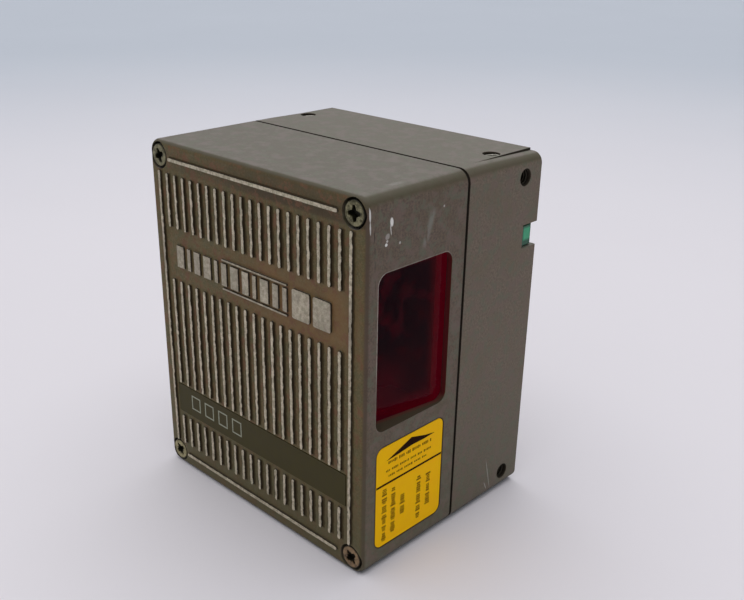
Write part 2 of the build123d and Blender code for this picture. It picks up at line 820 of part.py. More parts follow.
with BuildPart() as bearing_balls:
    for start in bearing_starts:
        with Locations(facing_rear(start + ring_width / 2)):
            with Locations((-motor_x, motor_z)):
                with PolarLocations(ball_circle, 7):
                    Sphere(ball_radius)
keep("bearing_balls", bearing_balls)

# ---------------------------------------------------------------- polygon motor, turning parts
cup_radius = 16.5
cup_front = -6.2
cup_back = 2.2
hub_radius = 6.0
with BuildPart() as motor_shaft:
    with BuildSketch(facing_rear(polygon_front - 1.6)):
        with Locations((-motor_x, motor_z)):
            Circle(shaft_radius)
    extrude(amount=rear_bearing + ring_width - polygon_front + 1.9)
    chamfer(motor_shaft.edges().filter_by(GeomType.CIRCLE), 0.25)
keep("motor_shaft", motor_shaft)

with BuildPart() as rotor_cup:
    with BuildSketch(facing_front(cup_back)):
        motor_circle(cup_radius)
    extrude(amount=cup_back - cup_front)
    fillet(rotor_cup.edges().sort_by(Axis.Y)[0], 0.8)
    with BuildSketch(facing_front(cup_back)):
        motor_circle(cup_radius - 1.0)
    extrude(amount=cup_back - cup_front - 1.0, mode=Mode.SUBTRACT)
    with BuildSketch(facing_front(cup_back)):
        motor_circle(tube_radius + 1.5)
    extrude(amount=cup_back - cup_front + 1.0, mode=Mode.SUBTRACT)
keep("rotor_cup", rotor_cup)

with BuildPart() as rotor_magnet:
    with BuildSketch(facing_front(1.6)):
        motor_circle(cup_radius - 1.0)
        motor_circle(cup_radius - 3.0, Mode.SUBTRACT)
    extrude(amount=6.2)
keep("rotor_magnet", rotor_magnet)

with BuildPart() as polygon_hub:
    with BuildSketch(facing_front(cup_front)):
        motor_circle(11.0)
    extrude(amount=cup_front - polygon_back)
    with BuildSketch(facing_front(polygon_back)):
        motor_circle(hub_radius)
    extrude(amount=polygon_back - polygon_front)
    with BuildSketch(facing_front(cup_front)):
        motor_circle(tube_radius + 0.6)
    extrude(amount=cup_front - front_bearing + 0.4, mode=Mode.SUBTRACT)
    with BuildSketch(facing_front(cup_front)):
        motor_circle(shaft_radius + 0.01)
    extrude(amount=cup_front - polygon_front + 1, mode=Mode.SUBTRACT)
    with Locations(facing_front(polygon_front)):
        with Locations((motor_x, motor_z)):
            with PolarLocations(4.0, 3):
                Hole(0.85, 5.0)
keep("polygon_hub", polygon_hub)

with BuildPart() as polygon_mirror:
    with BuildSketch(facing_front(polygon_back)):
        with Locations((motor_x, motor_z)):
            RegularPolygon(polygon_flats / 2, polygon_facets, major_radius=False, rotation=22.5)
        motor_circle(hub_radius + 0.02, Mode.SUBTRACT)
    extrude(amount=polygon_back - polygon_front)
    with BuildSketch(facing_front(polygon_front)):
        motor_circle(14.2)
        motor_circle(9.0, Mode.SUBTRACT)
    extrude(amount=-3.0, mode=Mode.SUBTRACT)
keep("polygon_mirror", polygon_mirror)

with BuildPart() as polygon_clamp:
    with BuildSketch(facing_front(polygon_front)):
        motor_circle(8.4)
        motor_circle(shaft_radius + 0.3, Mode.SUBTRACT)
        with Locations((motor_x, motor_z)):
            with PolarLocations(4.0, 3):
                Circle(1.0, mode=Mode.SUBTRACT)
    extrude(amount=0.6)
keep("polygon_clamp", polygon_clamp)

clamp_screw = screw(1.55, 0.9, 0.8, 4.6, 0.95, 0.5, 0.2)
with BuildPart() as polygon_clamp_screws:
    with Locations(facing_front(polygon_front - 0.6 - 0.9)):
        with Locations((motor_x, motor_z)):
            with PolarLocations(4.0, 3):
                add(clamp_screw)
keep("polygon_clamp_screws", polygon_clamp_screws)

# ---------------------------------------------------------------- laser
mount_x = (14.5, 26.5)
mount_front = -27.5
barrel_x = (12.5, 32.5)
barrel_radius = 5.0
bore_radius = 3.2
laser_middle = sum(mount_x) / 2
mount_width = mount_x[1] - mount_x[0]
barrel_length = barrel_x[1] - barrel_x[0]
clamp_y = mount_front + 3.0


def along_x(x, y, z, radius, length, mode=Mode.ADD):
    """A cylinder along +X from the given point."""
    with Locations((x, y, z)):
        from_start = (Align.CENTER, Align.CENTER, Align.MIN)
        Cylinder(radius, length, rotation=(0, 90, 0), align=from_start, mode=mode)


with BuildPart() as laser_mount:
    with BuildSketch(facing_front(bench_front)):
        with Locations((laser_middle, laser_z)):
            RectangleRounded(mount_width, 14.0, 1.0)
    extrude(amount=bench_front - mount_front)
    with BuildSketch(facing_front(bench_front)):
        left, right, low, high = laser_flange
        with Locations(((left + right) / 2, (low + high) / 2)):
            RectangleRounded(right - left, high - low, 2.0)
    extrude(amount=flange_thickness)
    with Locations(facing_front(flange_front)):
        with Locations(*[(x, laser_z) for x in laser_screw_x]):
            Hole(m3_radius + 0.1, flange_thickness)
    along_x(mount_x[0] - 1, beam_y, laser_z, barrel_radius + clearance, mount_width + 2, Mode.SUBTRACT)
    with BuildSketch(facing_front(beam_y)):
        with Locations((laser_middle, laser_z)):
            Rectangle(mount_width + 2, 1.2)
    extrude(amount=beam_y - mount_front + 1, mode=Mode.SUBTRACT)
    with Locations(Plane.XY.offset(laser_z + 7.0)):
        with Locations((laser_middle, clamp_y)):
            Hole(1.3, 14.0)
keep("laser_mount", laser_mount)

with BuildPart() as laser_clamp_screw:
    with Locations(Plane.XY.offset(laser_z + 9.0)):
        with Locations((laser_middle, clamp_y)):
            add(screw(2.25, 2.0, 1.25, 12.0, 1.4, 1.0, 0.3))
keep("laser_clamp_screw", laser_clamp_screw)

with BuildPart() as laser_barrel:
    along_x(barrel_x[0], beam_y, laser_z, barrel_radius, barrel_length)
    chamfer(laser_barrel.edges().filter_by(GeomType.CIRCLE), 0.4)
    along_x(barrel_x[0], beam_y, laser_z, bore_radius, barrel_length, Mode.SUBTRACT)
keep("laser_barrel", laser_barrel)

lens_flat = barrel_x[0] + 1.0
lens_rim = beam_y + bore_radius - 0.02
with BuildPart() as collimator_lens:
    with BuildSketch(Plane.XY.offset(laser_z)):
        with BuildLine():
            Line((lens_flat, beam_y), (lens_flat + 2.6, beam_y))
            ThreePointArc(
                (lens_flat + 2.6, beam_y),
                (lens_flat + 2.3, beam_y + 1.7),
                (lens_flat + 1.4, lens_rim),
            )
            Line((lens_flat + 1.4, lens_rim), (lens_flat, lens_rim))
            Line((lens_flat, lens_rim), (lens_flat, beam_y))
        make_face()
    revolve(axis=Axis((0, beam_y, laser_z), (1, 0, 0)))
keep("collimator_lens", collimator_lens)

with BuildPart() as laser_diode:
    along_x(28.0, beam_y, laser_z, 3.18, 1.2)
    along_x(25.6, beam_y, laser_z, 2.3, 2.4)
    for offset_y, offset_z in ((0.9, 0), (-0.9, 0), (0, 0.9)):
        along_x(29.2, beam_y + offset_y, laser_z + offset_z, 0.23, 5.0)
keep("laser_diode", laser_diode)

with BuildPart() as laser_driver_board:
    with BuildSketch(facing_right(32.7)):
        with Locations((beam_y + 1.0, laser_z)):
            Rectangle(14.0, 11.6)
        with Locations((beam_y + 0.9, laser_z), (beam_y - 0.9, laser_z), (beam_y, laser_z + 0.9)):
            Circle(0.3, mode=Mode.SUBTRACT)
    extrude(amount=1.0)
    with BuildSketch(facing_right(33.7)):
        with Locations((beam_y + 5.4, laser_z)):
            Rectangle(3.0, 7.0)
    extrude(amount=1.2)
keep("laser_driver_board", laser_driver_board)

# ---------------------------------------------------------------- fold mirror and collecting mirror
half_root = sqrt(0.5)
fold_x = 0.0
fold_z = laser_z


def behind_fold(distance):
    """The X and Z of the point that far behind the fold mirror's face."""
    return fold_x - distance * half_root, fold_z - distance * half_root


with BuildPart() as fold_mirror_post:
    with BuildSketch(facing_front(flange_front)):
        with Locations(behind_fold(2.5)):
            Rectangle(5.0, 3.0, rotation=-45)
    extrude(amount=flange_front - beam_y + 2.6)
    with BuildSketch(facing_front(bench_front)):
        with Locations((-5.0, 28.0)):
            RectangleRounded(13.0, 10.0, 2.0)
    extrude(amount=flange_thickness)
    with Locations(facing_front(flange_front)):
        with Locations(fold_flange_screw):
            Hole(m3_radius + 0.1, flange_thickness)
keep("fold_mirror_post", fold_mirror_post)

with BuildPart() as fold_mirror:
    with BuildSketch(facing_front(beam_y + 2.5)):
        with Locations(behind_fold(0.5)):
            Rectangle(5.0, 1.0, rotation=-45)
    extrude(amount=5.0)
keep("fold_mirror", fold_mirror)

collector_plane = Plane(
    (-1.0, beam_y, 15.0),
    x_dir=(half_root, 0, half_root),
    z_dir=(-half_root, 0, half_root),
)
mirror_back = 3.2
mirror_curve = 60.0
mirror_dip = 1.4

with BuildPart() as collector_mirror:
    with BuildSketch(collector_plane):
        RectangleRounded(24.0, 22.0, 1.0)
    extrude(amount=-mirror_back)
    with Locations(collector_plane.offset(mirror_curve - mirror_dip)):
        Sphere(mirror_curve, mode=Mode.SUBTRACT)
keep("collector_mirror", collector_mirror)

with BuildPart() as collector_bracket:
    with BuildSketch(collector_plane.offset(-mirror_back)):
        Rectangle(20.0, 22.0)
    extrude(amount=-2.5)
    with BuildSketch(facing_front(flange_front)):
        centre = collector_plane.from_local_coords((0, 0, -mirror_back - 1.25))
        with Locations((centre.X, centre.Z)):
            Rectangle(20.0, 2.5, rotation=45)
    extrude(amount=flange_front - beam_y - 11.0)
    with BuildSketch(facing_front(bench_front)):
        with Locations((12.0, 8.2)):
            RectangleRounded(20.0, 7.4, 2.0)
    extrude(amount=flange_thickness)
    with Locations(facing_front(flange_front)):
        with Locations(*collector_screws):
            Hole(m3_radius + 0.1, flange_thickness)
keep("collector_bracket", collector_bracket)

# ---------------------------------------------------------------- receiver
receiver_z = 16.0
receiver_x = (-31.0, -21.0)
receiver_front = -24.0
filter_radius = 6.0
diode_radius = 4.6

with BuildPart() as receiver_holder:
    with BuildSketch(facing_front(bench_front)):
        with Locations((sum(receiver_x) / 2, receiver_z)):
            RectangleRounded(receiver_x[1] - receiver_x[0], 16.0, 1.0)
    extrude(amount=bench_front - receiver_front)
    with BuildSketch(facing_front(bench_front)):
        with Locations((-26.5, 17.0)):
            RectangleRounded(23.0, 6.4, 2.0)
    extrude(amount=flange_thickness)
    with Locations(facing_front(flange_front)):
        with Locations(*receiver_screws):
            Hole(m3_radius + 0.1, flange_thickness)
    along_x(-26.0, beam_y, receiver_z, filter_radius + 0.02, 6.0, Mode.SUBTRACT)
    along_x(-32.0, beam_y, receiver_z, diode_radius + clearance, 7.0, Mode.SUBTRACT)
keep("receiver_holder", receiver_holder)

with BuildPart() as receiver_filter:
    along_x(-23.5, beam_y, receiver_z, filter_radius, 2.0)
keep("receiver_filter", receiver_filter)

with BuildPart() as photodiode:
    along_x(-31.0, beam_y, receiver_z, diode_radius, 0.8)
    along_x(-30.2, beam_y, receiver_z, diode_radius - 0.5, 3.4)
    fillet(photodiode.edges().sort_by(Axis.X)[-1], 0.5)
keep("photodiode", photodiode)

with BuildPart() as receiver_board:
    with BuildSketch(facing_right(-32.6)):
        with Locations((beam_y, 19.3)):
            Rectangle(16.0, 21.4)
    extrude(amount=1.6)
keep("receiver_board", receiver_board)

# ---------------------------------------------------------------- electronics
with BuildPart() as board_standoffs:
    with BuildSketch(facing_rear(bench_back)):
        for z in standoff_z:
            with Locations((-standoff_x, z), (standoff_x, z)):
                RegularPolygon(2.75, 6, major_radius=False)
    extrude(amount=board_front - bench_back)
    with BuildSketch(facing_front(bench_back)):
        for z in standoff_z:
            with Locations((-standoff_x, z), (standoff_x, z)):
                Circle(m3_tapped - clearance)
    extrude(amount=2.5)
    with Locations(facing_rear(board_front)):
        for z in standoff_z:
            with Locations((-standoff_x, z), (standoff_x, z)):
                Hole(m3_tapped, 8.0)
keep("board_standoffs", board_standoffs)

with BuildPart() as main_board:
    with BuildSketch(facing_rear(board_front)):
        with Locations((0, middle)):
            Rectangle(72.0, 78.0)
        for z in standoff_z:
            with Locations((-standoff_x, z), (standoff_x, z)):
                Circle(m3_radius + 0.1, mode=Mode.SUBTRACT)
    extrude(amount=board_thickness)
keep("main_board", main_board)

rear_chips = ((14.0, 62.0, 24.2, 24.2, 4.2), (-14.0, 71.0, 14.0, 36.0, 4.0), (2.0, 84.5, 18.0, 6.4, 3.4))
rear_chips += ((24.0, 44.0, 8.6, 18.0, 2.4), (-24.0, 42.0, 10.2, 7.5, 2.4), (3.0, 44.5, 11.0, 4.6, 3.4))
with BuildPart() as board_chips:
    for x, z, chip_width, chip_height, thickness in rear_chips:
        with BuildSketch(facing_rear(board_back)):
            with Locations((x, z)):
                Rectangle(chip_width, chip_height)
        extrude(amount=thickness)
keep("board_chips", board_chips)

capacitors = ((-24.0, 52.0, 4.0, 9.5), (-24.0, 62.0, 4.0, 9.5))
capacitors += ((24.0, 52.0, 5.0, 10.0), (12.0, 32.0, 3.1, 8.0))
with BuildPart() as board_capacitors:
    for x, z, radius, length in capacitors:
        with BuildSketch(facing_front(board_front)):
            with Locations((x, z)):
                Circle(radius)
        extrude(amount=length)
    fillet(board_capacitors.edges().filter_by(GeomType.CIRCLE).group_by(Axis.Y)[0], 0.5)
keep("board_capacitors", board_capacitors)

header_depth = 5.0
flex_end = board_front - header_depth
with BuildPart() as board_headers:
    with BuildSketch(facing_front(board_front)):
        with Locations((motor_x, 49.0)):
            Rectangle(12.0, 4.0)
        with Locations((-33.2, 27.0), (33.7, 25.0)):
            Rectangle(4.0, 10.0)
    extrude(amount=header_depth)
keep("board_headers", board_headers)

# ---------------------------------------------------------------- flat cables between the boards
flex_thickness = 0.3
with BuildPart() as motor_flex:
    with BuildSketch(facing_right(motor_x - 4.0)):
        with BuildLine():
            FilletPolyline((plate_front - 0.2, 60.0), (plate_front - 0.2, 49.0), (flex_end, 49.0), radius=2.0)
        trace(line_width=flex_thickness)
    extrude(amount=8.0)
keep("motor_flex", motor_flex)

with BuildPart() as receiver_flex:
    with BuildSketch(Plane.XY.offset(24.0)):
        with Locations((-32.6 - flex_thickness / 2, (beam_y + 4.0 + flex_end) / 2)):
            Rectangle(flex_thickness, flex_end - beam_y - 4.0)
    extrude(amount=6.0)
keep("receiver_flex", receiver_flex)

with BuildPart() as laser_flex:
    with BuildSketch(Plane.XY.offset(22.0)):
        with Locations((34.9 - flex_thickness / 2 - 0.5, (beam_y + 6.9 + flex_end) / 2)):
            Rectangle(flex_thickness, flex_end - beam_y - 6.9)
    extrude(amount=6.0)
keep("laser_flex", laser_flex)

# ---------------------------------------------------------------- export
os.makedirs("parts", exist_ok=True)
for name, part in pieces.items():
    export_step(part, f"parts/{name}.step")
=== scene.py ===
"""Looks of the laser line scanner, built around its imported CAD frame. Metres, same frame as the CAD."""

import json
import math

import bmesh
import bpy
from mathutils import Matrix, Vector


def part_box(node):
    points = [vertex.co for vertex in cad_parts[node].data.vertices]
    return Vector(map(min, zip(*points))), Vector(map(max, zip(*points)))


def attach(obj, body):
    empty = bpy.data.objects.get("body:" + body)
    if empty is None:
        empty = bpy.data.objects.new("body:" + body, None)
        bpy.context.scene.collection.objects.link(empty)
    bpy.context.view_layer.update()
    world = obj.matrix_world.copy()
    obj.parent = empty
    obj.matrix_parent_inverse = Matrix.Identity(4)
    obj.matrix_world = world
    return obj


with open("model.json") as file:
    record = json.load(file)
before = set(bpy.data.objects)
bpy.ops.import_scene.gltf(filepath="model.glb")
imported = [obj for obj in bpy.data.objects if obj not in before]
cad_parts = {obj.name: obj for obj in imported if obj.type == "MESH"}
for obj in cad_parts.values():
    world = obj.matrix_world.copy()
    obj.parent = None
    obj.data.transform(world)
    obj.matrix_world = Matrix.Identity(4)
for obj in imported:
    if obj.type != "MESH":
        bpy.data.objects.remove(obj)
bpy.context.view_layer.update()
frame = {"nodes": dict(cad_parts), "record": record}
scene = bpy.context.scene
nodes_by_name = frame["nodes"]
MM = 0.001


# ---------------------------------------------------------------- shader helpers
def srgb(r, g, b):
    """A linear colour from 0-255 screen values."""
    def linear(v):
        v /= 255
        return v / 12.92 if v <= 0.04045 else ((v + 0.055) / 1.055) ** 2.4
    return (linear(r), linear(g), linear(b), 1.0)


def put(tree, value, socket):
    """Links a socket, or sets a plain value."""
    if isinstance(value, bpy.types.NodeSocket):
        tree.links.new(value, socket)
    elif value is not None:
        socket.default_value = value


def node(tree, kind, inputs=None, **settings):
    """A new shader node with its settings made and its inputs linked or set."""
    made = tree.nodes.new(kind)
    for name, value in settings.items():
        setattr(made, name, value)
    for name, value in (inputs or {}).items():
        put(tree, value, made.inputs[name])
    return made


def calc(tree, operation, a, b=None):
    made = node(tree, "ShaderNodeMath", operation=operation)
    for value, socket in zip((a, b), made.inputs):
        put(tree, value, socket)
    return made.outputs[0]


def minus(tree, a, b):
    return calc(tree, "SUBTRACT", a, b)


def unsigned(tree, value):
    return calc(tree, "ABSOLUTE", value)


def largest(tree, *values):
    """The greatest of several values."""
    found = values[0]
    for value in values[1:]:
        found = calc(tree, "MAXIMUM", found, value)
    return found


def both(tree, *masks):
    """The product of several masks: where all of them hold."""
    total = masks[0]
    for mask in masks[1:]:
        total = calc(tree, "MULTIPLY", total, mask)
    return total


def flat_length(tree, a, b):
    """The length of the flat vector (a, b)."""
    return calc(tree, "SQRT", calc(tree, "ADD", calc(tree, "MULTIPLY", a, a), calc(tree, "MULTIPLY", b, b)))


def step(tree, value, low, high, start=0.0, end=1.0):
    """start below low, end above high, smooth between."""
    made = node(tree, "ShaderNodeMapRange", interpolation_type="SMOOTHSTEP")
    for name, number in (("From Min", low), ("From Max", high), ("To Min", start), ("To Max", end)):
        made.inputs[name].default_value = number
    put(tree, value, made.inputs["Value"])
    return made.outputs["Result"]


def mix(tree, factor, a, b):
    """Colour a where factor is 0, colour b where it is 1."""
    made = node(tree, "ShaderNodeMix", data_type="RGBA")
    put(tree, factor, made.inputs[0])
    put(tree, a, made.inputs[6])
    put(tree, b, made.inputs[7])
    return made.outputs[2]


def lerp(tree, factor, a, b):
    """The same for plain values."""
    made = node(tree, "ShaderNodeMix", data_type="FLOAT")
    for value, socket in zip((factor, a, b), (made.inputs[0], made.inputs[2], made.inputs[3])):
        put(tree, value, socket)
    return made.outputs[0]


def noise(tree, place, scale, detail=3.0, roughness=0.55, stretch=None):
    """Cloudy values round 0.5; scale is in clouds per millimetre."""
    if stretch:
        place = node(tree, "ShaderNodeMapping", {"Vector": place, "Scale": stretch}).outputs[0]
    made = node(tree, "ShaderNodeTexNoise", {"Vector": place, "Scale": scale, "Detail": detail})
    made.inputs["Roughness"].default_value = roughness
    return made.outputs["Fac"]


class Surface:
    """A material with a Principled shader and its place in millimetres."""

    def __init__(self, name, **shader):
        self.material = bpy.data.materials.new(name)
        self.material.use_nodes = True
        tree = self.tree = self.material.node_tree
        tree.nodes.clear()
        self.shader = node(tree, "ShaderNodeBsdfPrincipled")
        node(tree, "ShaderNodeOutputMaterial", {"Surface": self.shader.outputs[0]})
        place = node(tree, "ShaderNodeTexCoord").outputs["Object"]
        scaled = node(tree, "ShaderNodeVectorMath", {0: place, 1: (1000, 1000, 1000)}, operation="MULTIPLY")
        self.mm = scaled.outputs[0]
        axes = node(tree, "ShaderNodeSeparateXYZ", {0: self.mm}).outputs
        self.x, self.y, self.z = axes[0], axes[1], axes[2]
        self.set(**shader)

    def set(self, **shader):
        for name, value in shader.items():
            put(self.tree, value, self.shader.inputs[name])

    def colour(self, value):
        self.set(**{"Base Color": value})

    def roughness(self, value):
        self.set(Roughness=value)

    def bump(self, height, strength, distance):
        relief = {"Strength": strength, "Distance": distance, "Height": height}
        made = node(self.tree, "ShaderNodeBump", relief)
        put(self.tree, made.outputs[0], self.shader.inputs["Normal"])


GRAIN_DEPTH = 5e-5
SCRATCH_DEPTH = 3e-5
PAINT_DEPTH = 1.1e-4
ZINC_DEPTH = 6e-5


def plain(name, low, high, scale, rough=(0.4, 0.5), metal=0.0, bump=0.1, detail=3.0, gloss=0.5):
    """A surface whose colour, roughness and height vary with one noise."""
    made = Surface(name, Metallic=metal, **{"Specular IOR Level": gloss})
    grain = noise(made.tree, made.mm, scale, detail)
    made.colour(mix(made.tree, grain, low, high))
    made.roughness(step(made.tree, grain, 0.3, 0.7, *rough))
    made.bump(grain, bump, GRAIN_DEPTH)
    return made


# ---------------------------------------------------------------- places on the frame, in millimetres
RIB_HEIGHT = 0.6
RIB_PITCH = 3.56
RIB_HALF = 0.46
RIB_ROWS = ((78.1, 93.5), (29.2, 62.7), (8.3, 18.3))
BORDER_INSET = 4.6
BORDER_HALF = 0.42
ROWS_HALF = 10.1 * RIB_PITCH
SCREW_SPACE = 9.2
WALL_EDGE = 0.15
WINDOW_SINK = 3.5
GLASS_SLOPE = 0.15


def box_mm(name):
    """A node's lowest and highest corners in millimetres."""
    low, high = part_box(name)
    return low / MM, high / MM


front_low, front_high = box_mm("front_housing")
rear_low, _ = box_mm("rear_housing")
FACE_Y = front_low.y + RIB_HEIGHT
SEAM_Y = front_high.y
SEAM_REAR_Y = rear_low.y
SIDE_X = front_high.x
TOP_Z = front_high.z
MIDDLE_Z = TOP_Z / 2
WINDOW_Y = FACE_Y + 17.3
WINDOW_Z = 62.0
WINDOW_HALF_Y = 13.3
WINDOW_HALF_Z = 21.0
WINDOW_RADIUS = 3.0
LABEL_RADIUS = 2.6
EMBLEM_Z = 70.2
PAD_X = 38.0
mounts = {mount["name"]: mount for mount in frame["record"]["mounts"]}
SIDE_HOLE_Y = mounts["side_holes_right"]["pos_m"][1] / MM
SIDE_HOLE_HALF = mounts["side_holes_right"]["dims"]["spacing_y_mm"] / 2
TOP_HOLE_Y = mounts["top_holes"]["pos_m"][1] / MM
TOP_HOLE_HALF = mounts["top_holes"]["dims"]["spacing_x_mm"] / 2
HOLE_RADIUS = 2.1
HOLE_MOUTH = 2.42
HOLE_DEPTH = 9.0
HEAD_RADIUS = 3.2

# colours in linear light
# painted shade for the seam, the step beside the top pad and the mounting holes
GAP_AND_HOLE_SHADE = (0.014, 0.009, 0.004, 1)
MARK = (0.020, 0.014, 0.008, 1)
SHADOWED = (0.018, 0.018, 0.010, 1)
RIB_FOOT_DIRT_AND_SHADE = (0.033, 0.021, 0.007, 1)
RIB_FLANK_DIRT_AND_SHADE = (0.029, 0.019, 0.007, 1)
RIM_WEAR_AND_HIGHLIGHT = (0.400, 0.310, 0.270, 1)
SMEARED = (0.36, 0.35, 0.32, 1)
LABEL_EDGE_SHADE = (0.034, 0.018, 0.005, 1)
RECESS_SHADE = (0.007, 0.006, 0.002, 1)

# ---------------------------------------------------------------- materials
# marks on the right side: distance behind the face, height, two radii, turn in degrees, strength
pale_marks = (
    (0.95, 97.9, 0.2, 1.7, 2.0, 0.85),
    (1.05, 94.9, 0.17, 1.6, 2.0, 0.75),
    (7.95, 95.0, 0.55, 1.15, 6.0, 1.0),
    (7.7, 93.2, 0.18, 1.4, 10.0, 0.6),
    (6.65, 91.8, 0.7, 0.8, -40.0, 0.3),
    (6.55, 90.7, 0.36, 0.3, 0.0, 0.65),
    (6.25, 89.9, 0.46, 0.42, 0.0, 1.0),
    (10.9, 89.4, 0.32, 0.36, 0.0, 0.5),
    (26.4, 95.0, 0.28, 0.3, 0.0, 0.5),
    (52.5, 8.1, 0.16, 5.6, 14.0, 0.28),
    (51.6, 4.5, 0.14, 1.6, 24.0, 0.4),
)
dark_marks = (
    (2.35, 92.6, 0.16, 1.5, 4.0, 0.8),
    (2.55, 89.2, 0.14, 1.0, 2.0, 0.7),
    (2.7, 85.6, 0.12, 1.5, 0.0, 0.6),
    (2.9, 80.0, 0.12, 2.4, 0.0, 0.45),
)


def within(s, value, centre, half, soft):
    """1 where value is inside centre plus or minus half, 0 outside, with a soft edge."""
    away = unsigned(s.tree, minus(s.tree, value, centre))
    return step(s.tree, away, half - soft, half + soft, 1.0, 0.0)


def from_edge(s, centre_y, centre_z, half_y, half_z, radius):
    """Distance outside the edge of a rounded rectangle drawn on the right side, negative inside it."""
    tree = s.tree
    corner = []
    for value, centre, half in ((s.y, centre_y, half_y), (s.z, centre_z, half_z)):
        corner.append(minus(tree, unsigned(tree, minus(tree, value, centre)), half - radius))
    outside = flat_length(tree, *[calc(tree, "MAXIMUM", value, 0.0) for value in corner])
    inside = calc(tree, "MINIMUM", calc(tree, "MAXIMUM", *corner), 0.0)
    return minus(tree, calc(tree, "ADD", outside, inside), radius)


def marks_mask(s, marks):
    """Small ragged ellipses on the right side, from a list of marks above."""
    tree = s.tree
    ragged = noise(tree, s.mm, 3.0, 4.0, 0.7)
    total = 0.0
    for depth, z, radius_y, radius_z, turn, strength in marks:
        angle = math.radians(turn)
        dy = minus(tree, s.y, FACE_Y + depth)
        dz = minus(tree, s.z, z)
        along = calc(tree, "MULTIPLY", dy, math.cos(angle) / radius_y)
        along = calc(tree, "ADD", along, calc(tree, "MULTIPLY", dz, math.sin(angle) / radius_y))
        across = calc(tree, "MULTIPLY", dz, math.cos(angle) / radius_z)
        across = minus(tree, across, calc(tree, "MULTIPLY", dy, math.sin(angle) / radius_z))
        far = calc(tree, "ADD", calc(tree, "MULTIPLY", along, along), calc(tree, "MULTIPLY", across, across))
        far = calc(tree, "ADD", far, calc(tree, "MULTIPLY", ragged, 0.8))
        total = largest(tree, total, step(tree, far, 0.9, 1.7, strength, 0.0))
    return both(tree, total, step(tree, s.x, SIDE_X - 1.4, SIDE_X - 0.9))


def bore_mask(s):
    """The walls and mouths of the eight tapped mounting holes, darkened in the paint as painted shade."""
    tree = s.tree
    off_side = unsigned(tree, s.x)
    off_level = unsigned(tree, minus(tree, s.z, MIDDLE_Z))
    total = 0.0
    for across, hole_half, hole_y, outward, face in (
            (off_level, SIDE_HOLE_HALF, SIDE_HOLE_Y, off_side, SIDE_X),
            (off_side, TOP_HOLE_HALF, TOP_HOLE_Y, off_level, MIDDLE_Z)):
        radius = flat_length(tree, minus(tree, across, hole_half), minus(tree, s.y, hole_y))
        inside = both(tree, step(tree, radius, HOLE_MOUTH - 0.08, HOLE_MOUTH, 1.0, 0.0),
                      step(tree, outward, face - 0.12, face - 0.02, 1.0, 0.0),
                      step(tree, outward, face - HOLE_DEPTH - 2.0, face - HOLE_DEPTH - 1.0))
        total = largest(tree, total, inside)
    return total


def smear_mask(s):
    """Pale rubbed streaks: two on the right side near the seam, one on the top's edge."""
    tree = s.tree
    streak = noise(tree, s.mm, 0.9, 3.0, 0.6, stretch=(1.0, 1.0, 0.25))
    leaning = calc(tree, "ADD", s.y, calc(tree, "MULTIPLY", minus(tree, s.z, 90.0), -0.35))
    side = both(tree, within(s, leaning, FACE_Y + 21.0, 0.9, 0.7), within(s, s.z, 90.5, 4.2, 1.2))
    side = both(tree, side, step(tree, s.x, SIDE_X - 0.6, SIDE_X - 0.3))
    edge = both(tree, within(s, s.x, SIDE_X - 4.2, 0.8, 0.5), within(s, s.y, FACE_Y + 13.5, 2.6, 1.0))
    edge = both(tree, edge, step(tree, s.z, TOP_Z - 1.0, TOP_Z - 0.5))
    return both(tree, largest(tree, side, edge), step(tree, streak, 0.3, 0.6))


def dirt_and_shade_line(s, offset, half, reach, strength):
    """A line of dirt and painted shade beside a raised line, from its edge at half to reach beyond it."""
    near = step(s.tree, offset, half - 0.12, half)
    far = step(s.tree, offset, half + 0.4 * reach, half + reach, strength, 0.0)
    return both(s.tree, near, far)


